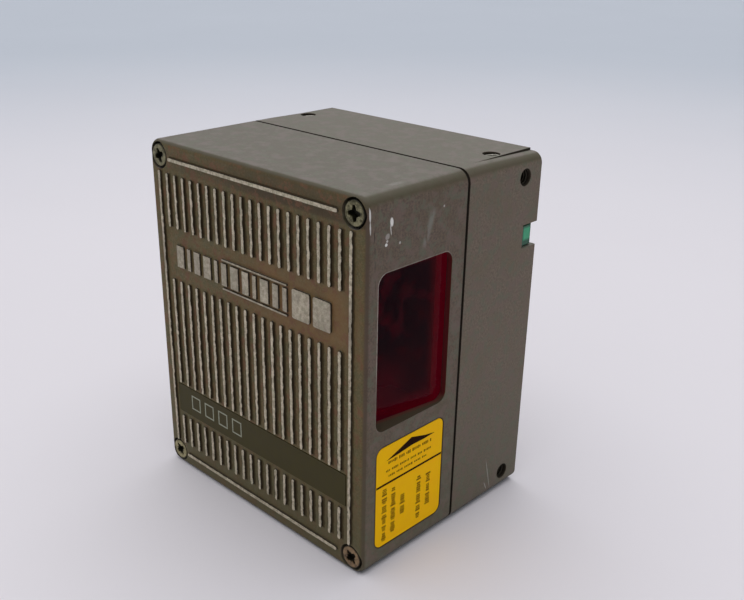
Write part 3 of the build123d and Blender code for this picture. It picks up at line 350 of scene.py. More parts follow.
def paint(name, front):
    """Hammered olive-grey paint; on the front housing the tops of the ribs are bare metal."""
    s = Surface(name, **{"Specular IOR Level": 0.3})
    tree = s.tree
    lumps = noise(tree, s.mm, 1.5, 4.0, 0.65)
    fine = noise(tree, s.mm, 5.0, 3.0, 0.6)
    cloud = noise(tree, s.mm, 0.07, 4.0, 0.55)
    hue = noise(tree, s.mm, 0.4, 4.0, 0.7)
    elsewhere = node(tree, "ShaderNodeVectorMath", {0: s.mm, 1: (31, 17, 5)}).outputs[0]
    rosy = noise(tree, elsewhere, 0.26, 4.0, 0.65)
    geometry = node(tree, "ShaderNodeNewGeometry")
    normal = node(tree, "ShaderNodeSeparateXYZ", {0: geometry.outputs["Normal"]}).outputs
    if front:
        dark, light = (0.083, 0.057, 0.040, 1), (0.164, 0.120, 0.084, 1)
        worn_brown = (0.102, 0.076, 0.040, 1)
    else:
        dark, light = (0.106, 0.079, 0.055, 1), (0.206, 0.158, 0.113, 1)
        worn_brown = (0.132, 0.106, 0.062, 1)
    base = mix(tree, step(tree, lumps, 0.32, 0.68), dark, light)
    base = mix(tree, step(tree, fine, 0.35, 0.8, 0.0, 0.3), base, dark)
    base = mix(tree, step(tree, cloud, 0.42, 0.68, 0.0, 0.55), base, worn_brown)
    low_down = step(tree, s.z, 8.0, 52.0, 0.55, 0.0)
    base = mix(tree, low_down, base, mix(tree, lumps, (0.070, 0.068, 0.040, 1), (0.146, 0.136, 0.092, 1)))
    # Painted light: faces that look up get a lighter, greyer paint, and lighter copies of the olive and pink
    # patches.
    up = step(tree, normal[2], 0.35, 0.98)
    top = mix(tree, step(tree, lumps, 0.3, 0.7), (0.160, 0.152, 0.124, 1), (0.222, 0.212, 0.186, 1))
    base = mix(tree, both(tree, up, 0.7), base, top)
    olive = mix(tree, up, (0.112, 0.124, 0.080, 1), (0.172, 0.180, 0.136, 1))
    pink = mix(tree, up, (0.158, 0.108, 0.087, 1), (0.224, 0.186, 0.170, 1))
    base = mix(tree, step(tree, hue, 0.48, 0.62, 0.0, 0.6), base, olive)
    base = mix(tree, step(tree, rosy, 0.48, 0.62, 0.0, 0.55), base, pink)
    # Painted shade: curved faces such as the fillets are darkened.
    flatness = largest(tree, *[calc(tree, "MULTIPLY", axis, axis) for axis in normal])
    rounded = step(tree, flatness, 0.72, 0.97, 0.75, 0.0)
    upright = mix(tree, low_down, (0.074, 0.046, 0.027, 1), (0.058, 0.050, 0.018, 1))
    sloping = step(tree, unsigned(tree, normal[2]), 0.1, 0.3)
    base = mix(tree, rounded, base, mix(tree, sloping, upright, (0.071, 0.060, 0.030, 1)))
    underside = step(tree, normal[2], -0.85, -0.25, 0.85, 0.0)
    base = mix(tree, underside, base, SHADOWED)
    base = mix(tree, marks_mask(s, dark_marks), base, MARK)
    bare = marks_mask(s, pale_marks)
    bare_colour = mix(tree, lumps, (0.55, 0.53, 0.48, 1), (0.92, 0.90, 0.86, 1))
    base = mix(tree, both(tree, smear_mask(s), 0.3), base, SMEARED)
    seam_y = calc(tree, "ADD", s.y, calc(tree, "MULTIPLY", minus(tree, fine, 0.5), 0.35))
    if front:
        base, bare, bare_colour, foot = worn_front(s, base, bare, bare_colour, normal)
        # painted shade along the seam
        gap_and_hole_shade = step(tree, seam_y, SEAM_Y - 0.2, SEAM_Y - 0.06, 0.0, 0.92)
    else:
        # painted shade on the step beside the raised top pad
        beside_pad = within(s, unsigned(tree, s.x), PAD_X + 0.05, 0.22, 0.06)
        at_edge = within(s, unsigned(tree, minus(tree, s.z, MIDDLE_Z)), MIDDLE_Z, 0.75, 0.1)
        slit = both(tree, beside_pad, step(tree, s.y, 8.0, 22.0), at_edge, 0.85)
        # painted shade along the seam
        seam = step(tree, seam_y, SEAM_REAR_Y + 0.04, SEAM_REAR_Y + 0.16, 0.92, 0.0)
        gap_and_hole_shade = largest(tree, slit, seam, both(tree, bore_mask(s), 0.97))
        foot = 0.0
    base = mix(tree, gap_and_hole_shade, base, GAP_AND_HOLE_SHADE)
    s.colour(mix(tree, bare, base, bare_colour))
    rough = lerp(tree, largest(tree, gap_and_hole_shade, foot), step(tree, lumps, 0.3, 0.7, 0.5, 0.68), 0.95)
    s.roughness(lerp(tree, bare, rough, 0.42))
    put(tree, calc(tree, "MULTIPLY", bare, 0.35), s.shader.inputs["Metallic"])
    height = calc(tree, "ADD", calc(tree, "MULTIPLY", lumps, 0.7), calc(tree, "MULTIPLY", fine, 0.4))
    s.bump(minus(tree, height, calc(tree, "MULTIPLY", bare, 0.4)), 0.35, PAINT_DEPTH)
    return s


def beside_ribs(s):
    """Dirt and painted shade along the foot of every rib and border line, heavier on one side, where the
    painted shadow falls.
    """
    tree = s.tree
    wander = noise(tree, s.mm, 1.0, 2.0, 0.5, stretch=(0.45, 0.0, 0.42))
    wander = calc(tree, "MULTIPLY", minus(tree, wander, 0.5), 1.1)
    turns = calc(tree, "FRACT", calc(tree, "DIVIDE", s.x, RIB_PITCH))
    offset = calc(tree, "MULTIPLY", minus(tree, turns, 0.5), RIB_PITCH)
    offset = calc(tree, "ADD", offset, wander)
    heavy = dirt_and_shade_line(s, offset, RIB_HALF, 1.05, 1.0)
    light = dirt_and_shade_line(s, calc(tree, "MULTIPLY", offset, -1.0), RIB_HALF, 0.55, 0.55)
    rows = 0.0
    for low, high in RIB_ROWS:
        rows = largest(tree, rows, within(s, s.z, (low + high) / 2, (high - low) / 2 - 0.1, 0.35))
    across = within(s, s.x, 0.0, ROWS_HALF, 0.1)
    ribs = both(tree, largest(tree, heavy, light), rows, across)
    right_line = calc(tree, "ADD", minus(tree, s.x, SIDE_X - BORDER_INSET), wander)
    left_line = calc(tree, "ADD", calc(tree, "ADD", s.x, SIDE_X - BORDER_INSET), wander)
    top_line = minus(tree, s.z, TOP_Z - BORDER_INSET)
    low_line = minus(tree, s.z, BORDER_INSET)
    upright = largest(tree, *[dirt_and_shade_line(s, line, BORDER_HALF, 0.7, 0.9) for line in (right_line, left_line)])
    upright = both(tree, upright, within(s, s.z, MIDDLE_Z, MIDDLE_Z - 8.4, 0.3))
    level = largest(tree, dirt_and_shade_line(s, top_line, BORDER_HALF, 0.6, 0.9),
                    dirt_and_shade_line(s, low_line, BORDER_HALF, 0.5, 0.7))
    level = both(tree, level, within(s, s.x, 0.0, SIDE_X - SCREW_SPACE, 0.3))
    lines = largest(tree, ribs, upright, level)
    in_ribs = both(tree, rows, across)
    off_border = calc(tree, "MINIMUM", unsigned(tree, right_line), unsigned(tree, left_line))
    border_start = SIDE_X - BORDER_INSET - 1.0
    at_border = step(tree, unsigned(tree, s.x), border_start, border_start + 0.1)
    off_middle = lerp(tree, at_border, unsigned(tree, offset), off_border)
    return lines, off_middle, largest(tree, in_ribs, at_border)


def worn_front(s, base, bare, bare_colour, normal):
    """What only the front has: brown stains, dirt and painted shade beside the ribs, bare rib tops, a window
    recess painted with red light and shade.
    """
    tree = s.tree
    ahead = minus(tree, FACE_Y, s.y)
    facing = step(tree, normal[1], -0.72, -0.97)
    stain = noise(tree, s.mm, 0.13, 4.0, 0.6)
    patch = noise(tree, s.mm, 0.34, 4.0, 0.7)
    speckle = noise(tree, s.mm, 2.2, 3.0, 0.7)
    brown = mix(tree, stain, (0.096, 0.065, 0.015, 1), (0.153, 0.109, 0.036, 1))
    brown = mix(tree, step(tree, patch, 0.48, 0.62, 0.0, 0.75), brown, (0.090, 0.085, 0.029, 1))
    brown = mix(tree, step(tree, speckle, 0.5, 0.66, 0.0, 0.5), brown, (0.185, 0.136, 0.066, 1))
    brown = mix(tree, step(tree, speckle, 0.34, 0.48, 0.5, 0.0), brown, (0.058, 0.040, 0.013, 1))
    # Darker near the top and in a band under the top border line.
    margin = step(tree, s.z, TOP_Z - 10.0, TOP_Z - 4.0, 0.0, 0.5)
    under_line = within(s, s.z, TOP_Z - BORDER_INSET - 1.7, 1.1, 0.6)
    margin = largest(tree, margin, both(tree, under_line, 0.85))
    margin = both(tree, margin, step(tree, s.x, -24.0, 10.0, 0.3, 1.0))
    brown = mix(tree, margin, brown, (0.050, 0.029, 0.007, 1))
    lower_field = mix(tree, patch, (0.062, 0.052, 0.018, 1), (0.110, 0.096, 0.040, 1))
    brown = mix(tree, step(tree, s.z, 6.0, 36.0, 0.6, 0.0), brown, lower_field)
    base = mix(tree, both(tree, facing, 0.85), base, brown)
    rust = both(tree, within(s, s.z, EMBLEM_Z, 9.0, 5.0), within(s, s.x, 16.0, 22.0, 9.0), facing)
    rust = both(tree, rust, step(tree, stain, 0.35, 0.65, 0.4, 1.0))
    golden = mix(tree, patch, (0.132, 0.060, 0.022, 1), (0.215, 0.130, 0.044, 1))
    base = mix(tree, rust, base, golden)
    spots = both(tree, facing, step(tree, patch, 0.38, 0.48, 0.8, 0.0))
    spots = both(tree, spots, step(tree, s.z, 12.0, 40.0, 0.25, 1.0))
    base = mix(tree, spots, base, mix(tree, stain, (0.095, 0.050, 0.022, 1), (0.200, 0.086, 0.040, 1)))
    lines, off_middle, in_ribs = beside_ribs(s)
    # Dirt and painted shade at the foot of the ribs and border lines.
    foot = both(tree, lines, step(tree, ahead, -0.1, 0.05))
    base = mix(tree, foot, base, RIB_FOOT_DIRT_AND_SHADE)
    # Dirt and painted shade on the flanks of the ribs.
    flank = step(tree, ahead, 0.04, 0.14)
    base = mix(tree, both(tree, flank, 0.95), base, RIB_FLANK_DIRT_AND_SHADE)
    worn = noise(tree, s.mm, 1.0, 4.0, 0.7)
    tint = noise(tree, s.mm, 0.5, 3.0, 0.6)
    edge = calc(tree, "ADD", ahead, calc(tree, "MULTIPLY", minus(tree, worn, 0.5), 0.35))
    top = step(tree, edge, 0.46, 0.56)
    ragged = step(tree, off_middle, RIB_HALF - 0.07, RIB_HALF + 0.04, 1.0, 0.0)
    top = both(tree, top, lerp(tree, in_ribs, 1.0, ragged))
    bare = largest(tree, bare, top)
    rib_colour = mix(tree, step(tree, worn, 0.3, 0.7), (0.270, 0.228, 0.150, 1), (0.640, 0.570, 0.420, 1))
    rib_colour = mix(tree, step(tree, tint, 0.52, 0.7, 0.0, 0.5), rib_colour, (0.540, 0.435, 0.345, 1))
    rib_colour = mix(tree, step(tree, tint, 0.3, 0.46, 0.5, 0.0), rib_colour, (0.400, 0.405, 0.265, 1))
    dull = both(tree, within(s, s.z, EMBLEM_Z, 7.0, 0.2), step(tree, stain, 0.35, 0.65, 0.25, 0.6))
    rib_colour = mix(tree, dull, rib_colour, (0.230, 0.200, 0.155, 1))
    bare_colour = mix(tree, top, bare_colour, rib_colour)
    base, recess = window_recess(s, base, normal)
    return base, bare, bare_colour, largest(tree, foot, recess)


def window_recess(s, base, normal):
    """Painted red light from the glass on the walls round it, painted shade on the lower wall, and a pale rim
    outside, partly wear and partly painted highlight.
    """
    tree = s.tree
    in_y = within(s, s.y, WINDOW_Y, WINDOW_HALF_Y + 0.05, 0.03)
    in_z = within(s, s.z, WINDOW_Z, WINDOW_HALF_Z + 0.05, 0.03)
    below_side = step(tree, s.x, SIDE_X - WALL_EDGE, SIDE_X - 0.05, 1.0, 0.0)
    recess = both(tree, in_y, in_z, below_side, step(tree, s.x, 10.0, 12.0))
    glass_depth = calc(tree, "MULTIPLY", minus(tree, s.y, WINDOW_Y), GLASS_SLOPE)
    above_glass = minus(tree, s.x, calc(tree, "ADD", glass_depth, SIDE_X - WINDOW_SINK))
    # Painted red light near the glass and painted shade further out on the lower wall; painted red light on
    # the other walls.
    lower = mix(tree, step(tree, above_glass, 0.2, 1.6), (0.110, 0.026, 0.018, 1), (0.060, 0.044, 0.024, 1))
    shade = mix(tree, step(tree, normal[2], 0.3, 0.8), (0.095, 0.004, 0.006, 1), lower)
    base = mix(tree, both(tree, recess, 0.97), base, shade)
    # A pale line along the front and top rim of the opening: worn paint and painted highlight.
    outside = step(tree, s.x, SIDE_X - 0.3, SIDE_X - 0.1)
    rim_patchiness = noise(tree, s.mm, 0.8, 3.0, 0.6)
    off_edge = from_edge(s, WINDOW_Y, WINDOW_Z, WINDOW_HALF_Y, WINDOW_HALF_Z, WINDOW_RADIUS)
    edge = within(s, off_edge, 0.08, 0.14, 0.1)
    window_start = WINDOW_Y - WINDOW_HALF_Y
    at_front = step(tree, s.y, window_start + 1.0, window_start + 3.0, 1.0, 0.0)
    at_front = both(tree, at_front, step(tree, s.z, WINDOW_Z - 12.0, WINDOW_Z, 0.15, 1.0))
    at_top = step(tree, s.z, WINDOW_Z + WINDOW_HALF_Z - 2.0, WINDOW_Z + WINDOW_HALF_Z, 0.0, 0.45)
    rim = both(tree, edge, largest(tree, at_front, at_top), outside)
    base = mix(tree, both(tree, rim, step(tree, rim_patchiness, 0.3, 0.55, 0.4, 1.0)), base, RIM_WEAR_AND_HIGHLIGHT)
    # Painted shade in a thin line round the label's sunk edge.
    label_low, label_high = box_mm("side_label")
    label_half = (label_high - label_low) / 2
    middle = (label_high + label_low) / 2
    border = from_edge(s, middle.y, middle.z, label_half.y, label_half.z, LABEL_RADIUS)
    label_edge_shade = both(tree, within(s, border, 0.2, 0.28, 0.14), step(tree, s.x, SIDE_X - 1.0, SIDE_X - 0.8))
    return mix(tree, both(tree, label_edge_shade, 0.9), base, LABEL_EDGE_SHADE), recess


def steel(name, low, high, scratches, rough=(0.28, 0.45), bump=0.2):
    """Turned or rolled metal with fine scratches along one axis."""
    s = Surface(name, Metallic=1.0)
    tree = s.tree
    streak = noise(tree, s.mm, 1.0, 5.0, 0.65, stretch=scratches)
    spot = noise(tree, s.mm, 0.8, 4.0, 0.6)
    colour = mix(tree, streak, low, high)
    colour = mix(tree, step(tree, spot, 0.55, 0.8, 0.0, 0.5), colour, low)
    s.colour(colour)
    s.roughness(step(tree, streak, 0.3, 0.7, *rough))
    s.bump(streak, bump, SCRATCH_DEPTH)
    return s


def passivated_screw():
    """Dull green-yellow passivated zinc, browner on the lower right screw, with painted shade in the recess,
    round the head's rim and behind its face.
    """
    s = Surface("screw_zinc", Metallic=0.5)
    tree = s.tree
    low, high = box_mm("front_screws")
    cloud = noise(tree, s.mm, 0.9, 4.0, 0.7)
    fine = noise(tree, s.mm, 5.0, 3.0, 0.6)
    pale = mix(tree, step(tree, cloud, 0.34, 0.66), (0.054, 0.047, 0.017, 1), (0.268, 0.242, 0.132, 1))
    gold = mix(tree, step(tree, cloud, 0.3, 0.7), (0.150, 0.125, 0.050, 1), (0.430, 0.380, 0.200, 1))
    brown = mix(tree, step(tree, cloud, 0.3, 0.7), (0.083, 0.050, 0.027, 1), (0.325, 0.210, 0.108, 1))
    lower = mix(tree, step(tree, s.x, -5.0, 5.0), gold, brown)
    colour = mix(tree, step(tree, s.z, 40.0, 60.0), lower, pale)
    across = minus(tree, unsigned(tree, s.x), high.x - HEAD_RADIUS)
    from_middle = unsigned(tree, minus(tree, s.z, MIDDLE_Z))
    along = minus(tree, from_middle, high.z - HEAD_RADIUS - MIDDLE_Z)
    star = calc(tree, "ADD", *[calc(tree, "POWER", unsigned(tree, value), 0.62) for value in (across, along)])
    star = calc(tree, "ADD", star, calc(tree, "MULTIPLY", minus(tree, cloud, 0.5), 0.4))
    in_star = step(tree, star, 1.5, 1.7, 1.0, 0.0)
    rim = step(tree, flat_length(tree, across, along), HEAD_RADIUS - 0.4, HEAD_RADIUS - 0.1)
    deep = step(tree, s.y, low.y + 0.12, low.y + 0.35)
    near_front = step(tree, s.y, low.y + 6.0, low.y + 7.0, 0.95, 0.0)
    # Painted shade in the cross recess, round the rim and behind the face.
    s.colour(mix(tree, both(tree, largest(tree, in_star, rim, deep), near_front), colour, RECESS_SHADE))
    s.roughness(step(tree, fine, 0.3, 0.7, 0.38, 0.58))
    s.bump(calc(tree, "ADD", fine, cloud), 0.3, ZINC_DEPTH)
    return s


def red_glass():
    """Window glass dyed deep red, with painted red light as emission along its rear, lower and upper edges,
    in spots and in a haze low down.
    """
    s = Surface("window_glass", IOR=1.12)
    tree = s.tree
    smear = noise(tree, s.mm, 0.25, 4.0, 0.6)
    blotch = noise(tree, s.mm, 0.2, 2.0, 0.5)
    s.colour(mix(tree, smear, (0.42, 0.002, 0.008, 1), (0.60, 0.004, 0.014, 1)))
    s.roughness(step(tree, smear, 0.35, 0.75, 0.02, 0.08))
    s.shader.inputs["Transmission Weight"].default_value = 1.0
    # Painted red light, as emission.
    rear = step(tree, s.y, WINDOW_Y + 8.8, WINDOW_Y + 12.0, 0.0, 0.9)
    low = step(tree, s.z, WINDOW_Z - 19.0, WINDOW_Z - 15.4, 0.62, 0.0)
    high = step(tree, s.z, WINDOW_Z + 18.2, WINDOW_Z + 19.6, 0.0, 0.5)
    spots = step(tree, blotch, 0.55, 0.64, 0.0, 0.34)
    haze = both(tree, step(tree, s.z, WINDOW_Z - 12.0, WINDOW_Z - 2.0, 0.36, 0.0),
                step(tree, s.y, WINDOW_Y - 4.0, WINDOW_Y + 4.0, 1.0, 0.2))
    light = both(tree, largest(tree, rear, low, high, spots, haze), step(tree, smear, 0.2, 0.8, 0.8, 1.2))
    s.set(**{"Emission Color": mix(tree, light, (0.0012, 0.0002, 0.0010, 1), (0.0310, 0.0006, 0.0034, 1))})
    s.shader.inputs["Emission Strength"].default_value = 1.0
    return s


def green_lens():
    """Clear green moulding, painted paler in the middle where light falls on it and darker at its ends in
    painted shade.
    """
    s = Surface("green_lens", **{"Specular IOR Level": 0.25})
    tree = s.tree
    low, high = box_mm("status_light_pipe")
    cloud = noise(tree, s.mm, 0.8, 3.0)
    # Painted light in the middle, painted shade at the ends.
    inside = within(s, s.z, (low.z + high.z) / 2 + 0.4, (high.z - low.z) / 2 - 1.5, 0.5)
    inside = both(tree, inside, within(s, s.y, high.y - 2.2, 1.5, 0.5))
    edge = mix(tree, cloud, (0.001, 0.036, 0.018, 1), (0.003, 0.110, 0.048, 1))
    lit_middle = mix(tree, cloud, (0.012, 0.260, 0.110, 1), (0.040, 0.400, 0.200, 1))
    s.colour(mix(tree, inside, edge, lit_middle))
    s.roughness(step(tree, cloud, 0.3, 0.7, 0.12, 0.25))
    s.shader.inputs["Coat Weight"].default_value = 0.1
    return s


surfaces = {
    "front_paint": paint("front_paint", True),
    "rear_paint": paint("rear_paint", False),
    "screw": passivated_screw(),
    "glass": red_glass(),
    "green": green_lens(),
    "rubber": plain("seal_rubber", srgb(10, 8, 6), srgb(24, 20, 16), 1.2, (0.7, 0.85), bump=0.3),
    "window_rubber": plain("window_rubber", (0.010, 0.003, 0.003, 1), (0.030, 0.008, 0.008, 1), 1.2,
                           (0.7, 0.85), bump=0.2),
    "steel": steel("plain_steel", srgb(128, 127, 124), srgb(206, 205, 200), (1.0, 8.0, 8.0)),
    "bearing": steel("bearing_steel", srgb(170, 170, 172), srgb(226, 226, 228), (3.0, 20.0, 3.0),
                     (0.12, 0.2)),
    "brass": steel("brass", srgb(150, 112, 50), srgb(222, 184, 108), (8.0, 0.6, 8.0), (0.22, 0.36)),
    "milled": steel("milled_aluminium", srgb(140, 142, 144), srgb(206, 208, 210), (5.0, 5.0, 0.4),
                    (0.3, 0.45)),
    "tapped": steel("tapped_alloy", srgb(44, 40, 33), srgb(104, 98, 86), (3.0, 3.0, 3.0), (0.4, 0.6)),
    "tapped_lit": steel("tapped_lit", srgb(150, 146, 136), srgb(222, 218, 208), (3.0, 3.0, 3.0),
                          (0.3, 0.45)),
    "anodised": plain("black_anodised", srgb(10, 10, 12), srgb(34, 33, 34), 1.6, (0.38, 0.55), 0.4, 0.15),
    "sheet": steel("zinc_sheet", srgb(120, 122, 124), srgb(190, 192, 194), (0.6, 4.0, 0.6), (0.3, 0.5)),
    "mirror": steel("mirror_coat", srgb(216, 218, 222), srgb(240, 241, 244), (0.2, 3.0, 0.2),
                    (0.02, 0.05), 0.02),
    "ferrite": plain("magnet_ferrite", srgb(18, 18, 20), srgb(48, 47, 48), 2.5, (0.45, 0.6), 0.3, 0.25),
    "lamination": steel("lamination", srgb(44, 46, 52), srgb(110, 112, 118), (0.2, 9.0, 0.2),
                        (0.35, 0.5), 0.5),
    "copper": steel("copper_wire", srgb(110, 44, 20), srgb(206, 110, 56), (1.0, 1.0, 9.0), (0.25, 0.4), 0.7),
    "board": plain("solder_mask", srgb(4, 52, 26), srgb(12, 84, 44), 0.5, (0.25, 0.4), bump=0.08),
    "chip": plain("moulded_epoxy", srgb(16, 16, 17), srgb(34, 34, 36), 3.0, (0.5, 0.65), bump=0.2),
    "can": steel("drawn_cans", srgb(160, 162, 166), srgb(222, 224, 228), (3.0, 0.4, 3.0), (0.2, 0.32)),
    "cream": plain("cream_nylon", srgb(186, 176, 146), srgb(222, 214, 188), 0.7, (0.4, 0.5), bump=0.08),
    "black": plain("black_moulding", srgb(14, 14, 15), srgb(32, 32, 34), 2.0, (0.4, 0.55), bump=0.12),
    "tinned": steel("tinned_shell", srgb(158, 156, 148), srgb(226, 224, 214), (2.0, 0.5, 2.0), (0.18, 0.32)),
    "gold": steel("gold_flash", srgb(176, 130, 44), srgb(236, 200, 112), (2.0, 8.0, 2.0), (0.18, 0.28)),
    "amber": plain("polyimide", srgb(120, 62, 10), srgb(186, 108, 26), 0.6, (0.25, 0.4), bump=0.1),
    "strip": plain("strip_film", srgb(58, 51, 28), srgb(73, 67, 38), 0.4, (0.42, 0.55), bump=0.06,
                   detail=5.0, gloss=0.1),
    "yellow": plain("label_film", (0.94, 0.47, 0.001, 1), (0.98, 0.58, 0.002, 1), 0.3, (0.5, 0.6), bump=0.05,
                    detail=6.0, gloss=0.05),
    "ink": plain("label_ink", (0.060, 0.026, 0.002, 1), (0.320, 0.160, 0.004, 1), 1.6, (0.7, 0.85),
                 bump=0.05, gloss=0.05),
    "black_ink": plain("label_black", (0.006, 0.002, 0.001, 1), (0.030, 0.010, 0.004, 1), 1.2, (0.7, 0.85),
                       bump=0.05, gloss=0.05),
    "faded": plain("strip_print", srgb(122, 122, 104), srgb(168, 170, 150), 1.1, (0.4, 0.55),
                   bump=0.05, gloss=0.2),
}
lens = Surface("coated_lens")
haze = noise(lens.tree, lens.mm, 0.6, 3.0)
lens.colour(mix(lens.tree, haze, (0.80, 0.90, 0.95, 1), (0.93, 0.97, 1.0, 1)))
lens.roughness(step(lens.tree, haze, 0.3, 0.7, 0.01, 0.05))
lens.shader.inputs["Transmission Weight"].default_value = 1.0
surfaces["lens"] = lens

looks = {
    "front_paint": ("front_housing",),
    "rear_paint": ("rear_housing", "rear_cover"),
    "screw": ("front_screws", "front_screw_washers", "m3_screws", "m25_screws", "rear_cover_screws",
              "laser_clamp_screw", "polygon_clamp_screws"),
    "glass": ("scan_window", "receiver_filter"),
    "green": ("status_light_pipe", "status_led"),
    "rubber": ("housing_gasket", "rear_cover_gasket"),
    "window_rubber": ("window_gasket",),
    "steel": ("connector_jackscrews", "polygon_clamp"),
    "bearing": ("motor_shaft", "bearing_outer_rings", "bearing_inner_rings", "bearing_balls"),
    "brass": ("bearing_tube", "board_standoffs", "laser_barrel"),
    "milled": ("optical_bench", "polygon_hub"),
    "anodised": ("laser_mount", "fold_mirror_post", "collector_bracket", "receiver_holder"),
    "sheet": ("window_retainer", "motor_plate", "rotor_cup"),
    "mirror": ("polygon_mirror", "fold_mirror", "collector_mirror"),
    "ferrite": ("rotor_magnet",),
    "lamination": ("stator_core",),
    "copper": ("stator_windings",),
    "board": ("main_board", "laser_driver_board", "receiver_board"),
    "chip": ("board_chips",),
    "can": ("board_capacitors",),
    "cream": ("board_headers",),
    "black": ("connector_insulator", "photodiode"),
    "tinned": ("connector_shell",),
    "gold": ("connector_pins", "laser_diode"),
    "amber": ("motor_flex", "receiver_flex", "laser_flex"),
    "strip": ("name_strip",),
    "yellow": ("side_label",),
    "lens": ("collimator_lens",),
}
for look, names in looks.items():
    for name in names:
        mesh = nodes_by_name[name].data
        mesh.materials.clear()
        mesh.materials.append(surfaces[look].material)


# ---------------------------------------------------------------- printed marks
def mesh_piece(name, build, surface, body):
    """A new object from a bmesh, riding on a body."""
    mesh = bpy.data.meshes.new(name)
    bm = bmesh.new()
    build(bm)
    bm.normal_update()
    bm.to_mesh(mesh)
    bm.free()
    made = bpy.data.objects.new(name, mesh)
    scene.collection.objects.link(made)
    mesh.materials.append(surfaces[surface].material)
    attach(made, body)
    return made


def slab(bm, outline, lift, thickness, place):
    """A thin closed plate over a 2-D outline; place turns (u, v, height) in mm into a point in metres."""
    low = [bm.verts.new(place(u, v, lift)) for u, v in outline]
    high = [bm.verts.new(place(u, v, lift + thickness)) for u, v in outline]
    bm.faces.new(list(reversed(low)))
    bm.faces.new(high)
    count = len(outline)
    for k in range(count):
        bm.faces.new((low[k], low[(k + 1) % count], high[(k + 1) % count], high[k]))


def bar(u0, v0, u1, v1):
    return [(u0, v0), (u1, v0), (u1, v1), (u0, v1)]


def ticks(start, end, seed):
    """Short marks of unreadable small print between start and end, in word-like clumps: (from, to, share)."""
    found = []
    at = start
    k = seed
    while at < end - 0.4:
        for _ in range(3 + k % 4):
            k = (k * 73 + 41) % 101
            length = 0.26 + 0.3 * k / 101
            if at + length > end:
                break
            found.append((at, at + length, 0.55 + 0.45 * ((k * 7) % 10) / 10))
            at += length + 0.2
        at += 0.55
    return found


label_low, label_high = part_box("side_label")
label_x = label_high.x / MM
label_y0 = label_low.y / MM
label_z0 = label_low.z / MM
LABEL_WIDTH = label_high.y / MM - label_y0


def on_side(u, v, h):
    """A point of the right side: u from the label's front edge, v from its lower edge, h above its film."""
    return Vector(((label_x + h) * MM, (label_y0 + u) * MM, (label_z0 + v) * MM))


PRINT_LIFT = -0.01
PRINT_THICKNESS = 0.03
PRINT_MARGIN = 0.1
DIVIDER_LOW = 18.3
DIVIDER_HIGH = 18.9


def label_bands(bm):
    """The dividing line right across the label and a flat roof-shaped arrow above it."""
    divider = bar(PRINT_MARGIN, DIVIDER_LOW, LABEL_WIDTH - PRINT_MARGIN, DIVIDER_HIGH)
    slab(bm, divider, PRINT_LIFT, PRINT_THICKNESS, on_side)
    arrow = [(3.6, 25.4), (8.2, 26.9), (13.0, 28.6), (18.6, 27.0)]
    arrow += [(22.4, 26.3), (18.0, 26.1), (13.2, 26.2), (8.2, 25.7)]
    slab(bm, arrow, PRINT_LIFT, PRINT_THICKNESS, on_side)


def label_print(bm):
    """Faded small print: three rows under the arrow and five columns below the line."""
    rows = ((24.6, 4.4, 21.2, 1.0, 3), (22.3, 3.6, 21.6, 0.75, 8), (20.6, 4.6, 20.2, 0.7, 5))
    for v, u0, u1, height, seed in rows:
        for a, b, share in ticks(u0, u1, seed):
            half = height * share / 2
            slab(bm, bar(a, v - half, b, v + half), PRINT_LIFT, PRINT_THICKNESS, on_side)
    columns = ((3.2, 1.3, 17.4, 1), (6.6, 2.6, 16.6, 2), (10.2, 6.6, 12.6, 9))
    columns += ((16.6, 2.0, 15.8, 4), (20.4, 4.8, 14.8, 7))
    for u, v0, v1, seed in columns:
        for a, b, share in ticks(v0, v1, seed):
            slab(bm, bar(u - share, a, u + share, b), PRINT_LIFT, PRINT_THICKNESS, on_side)


mesh_piece("label_bands", label_bands, "black_ink", "chassis")
mesh_piece("label_print", label_print, "ink", "chassis")

strip_low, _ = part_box("name_strip")
FRAME_COUNT = 4
FRAME_PITCH = 6.4
FRAME_WIDTH = 4.2
FRAME_LOW = 2.6
FRAME_HIGH = 7.2
FRAME_LINE = 0.42


def on_front(u, v, h):
    """A point of the front: u from the strip's left edge, v from its lower edge, h ahead of its film."""
    return Vector((strip_low.x + u * MM, strip_low.y - h * MM, strip_low.z + v * MM))


def strip_print(bm):
    """Four plain outlined frames."""
    inner_low = FRAME_LOW + FRAME_LINE
    inner_high = FRAME_HIGH - FRAME_LINE
    for k in range(FRAME_COUNT):
        u0 = FRAME_PITCH * (k + 1)
        u1 = u0 + FRAME_WIDTH
        for side in (bar(u0, FRAME_LOW, u1, inner_low), bar(u0, inner_high, u1, FRAME_HIGH),
                     bar(u0, inner_low, u0 + FRAME_LINE, inner_high),
                     bar(u1 - FRAME_LINE, inner_low, u1, inner_high)):
            slab(bm, side, PRINT_LIFT, PRINT_THICKNESS, on_front)


mesh_piece("strip_print", strip_print, "faded", "chassis")

# ---------------------------------------------------------------- threads in the mounting holes
THREAD_PITCH = 0.8
THREAD_HEIGHT = 0.16
THREAD_START = 0.7
THREAD_END = 0.6
THREAD_STEPS = 28
THREAD_RUNOUT = 8


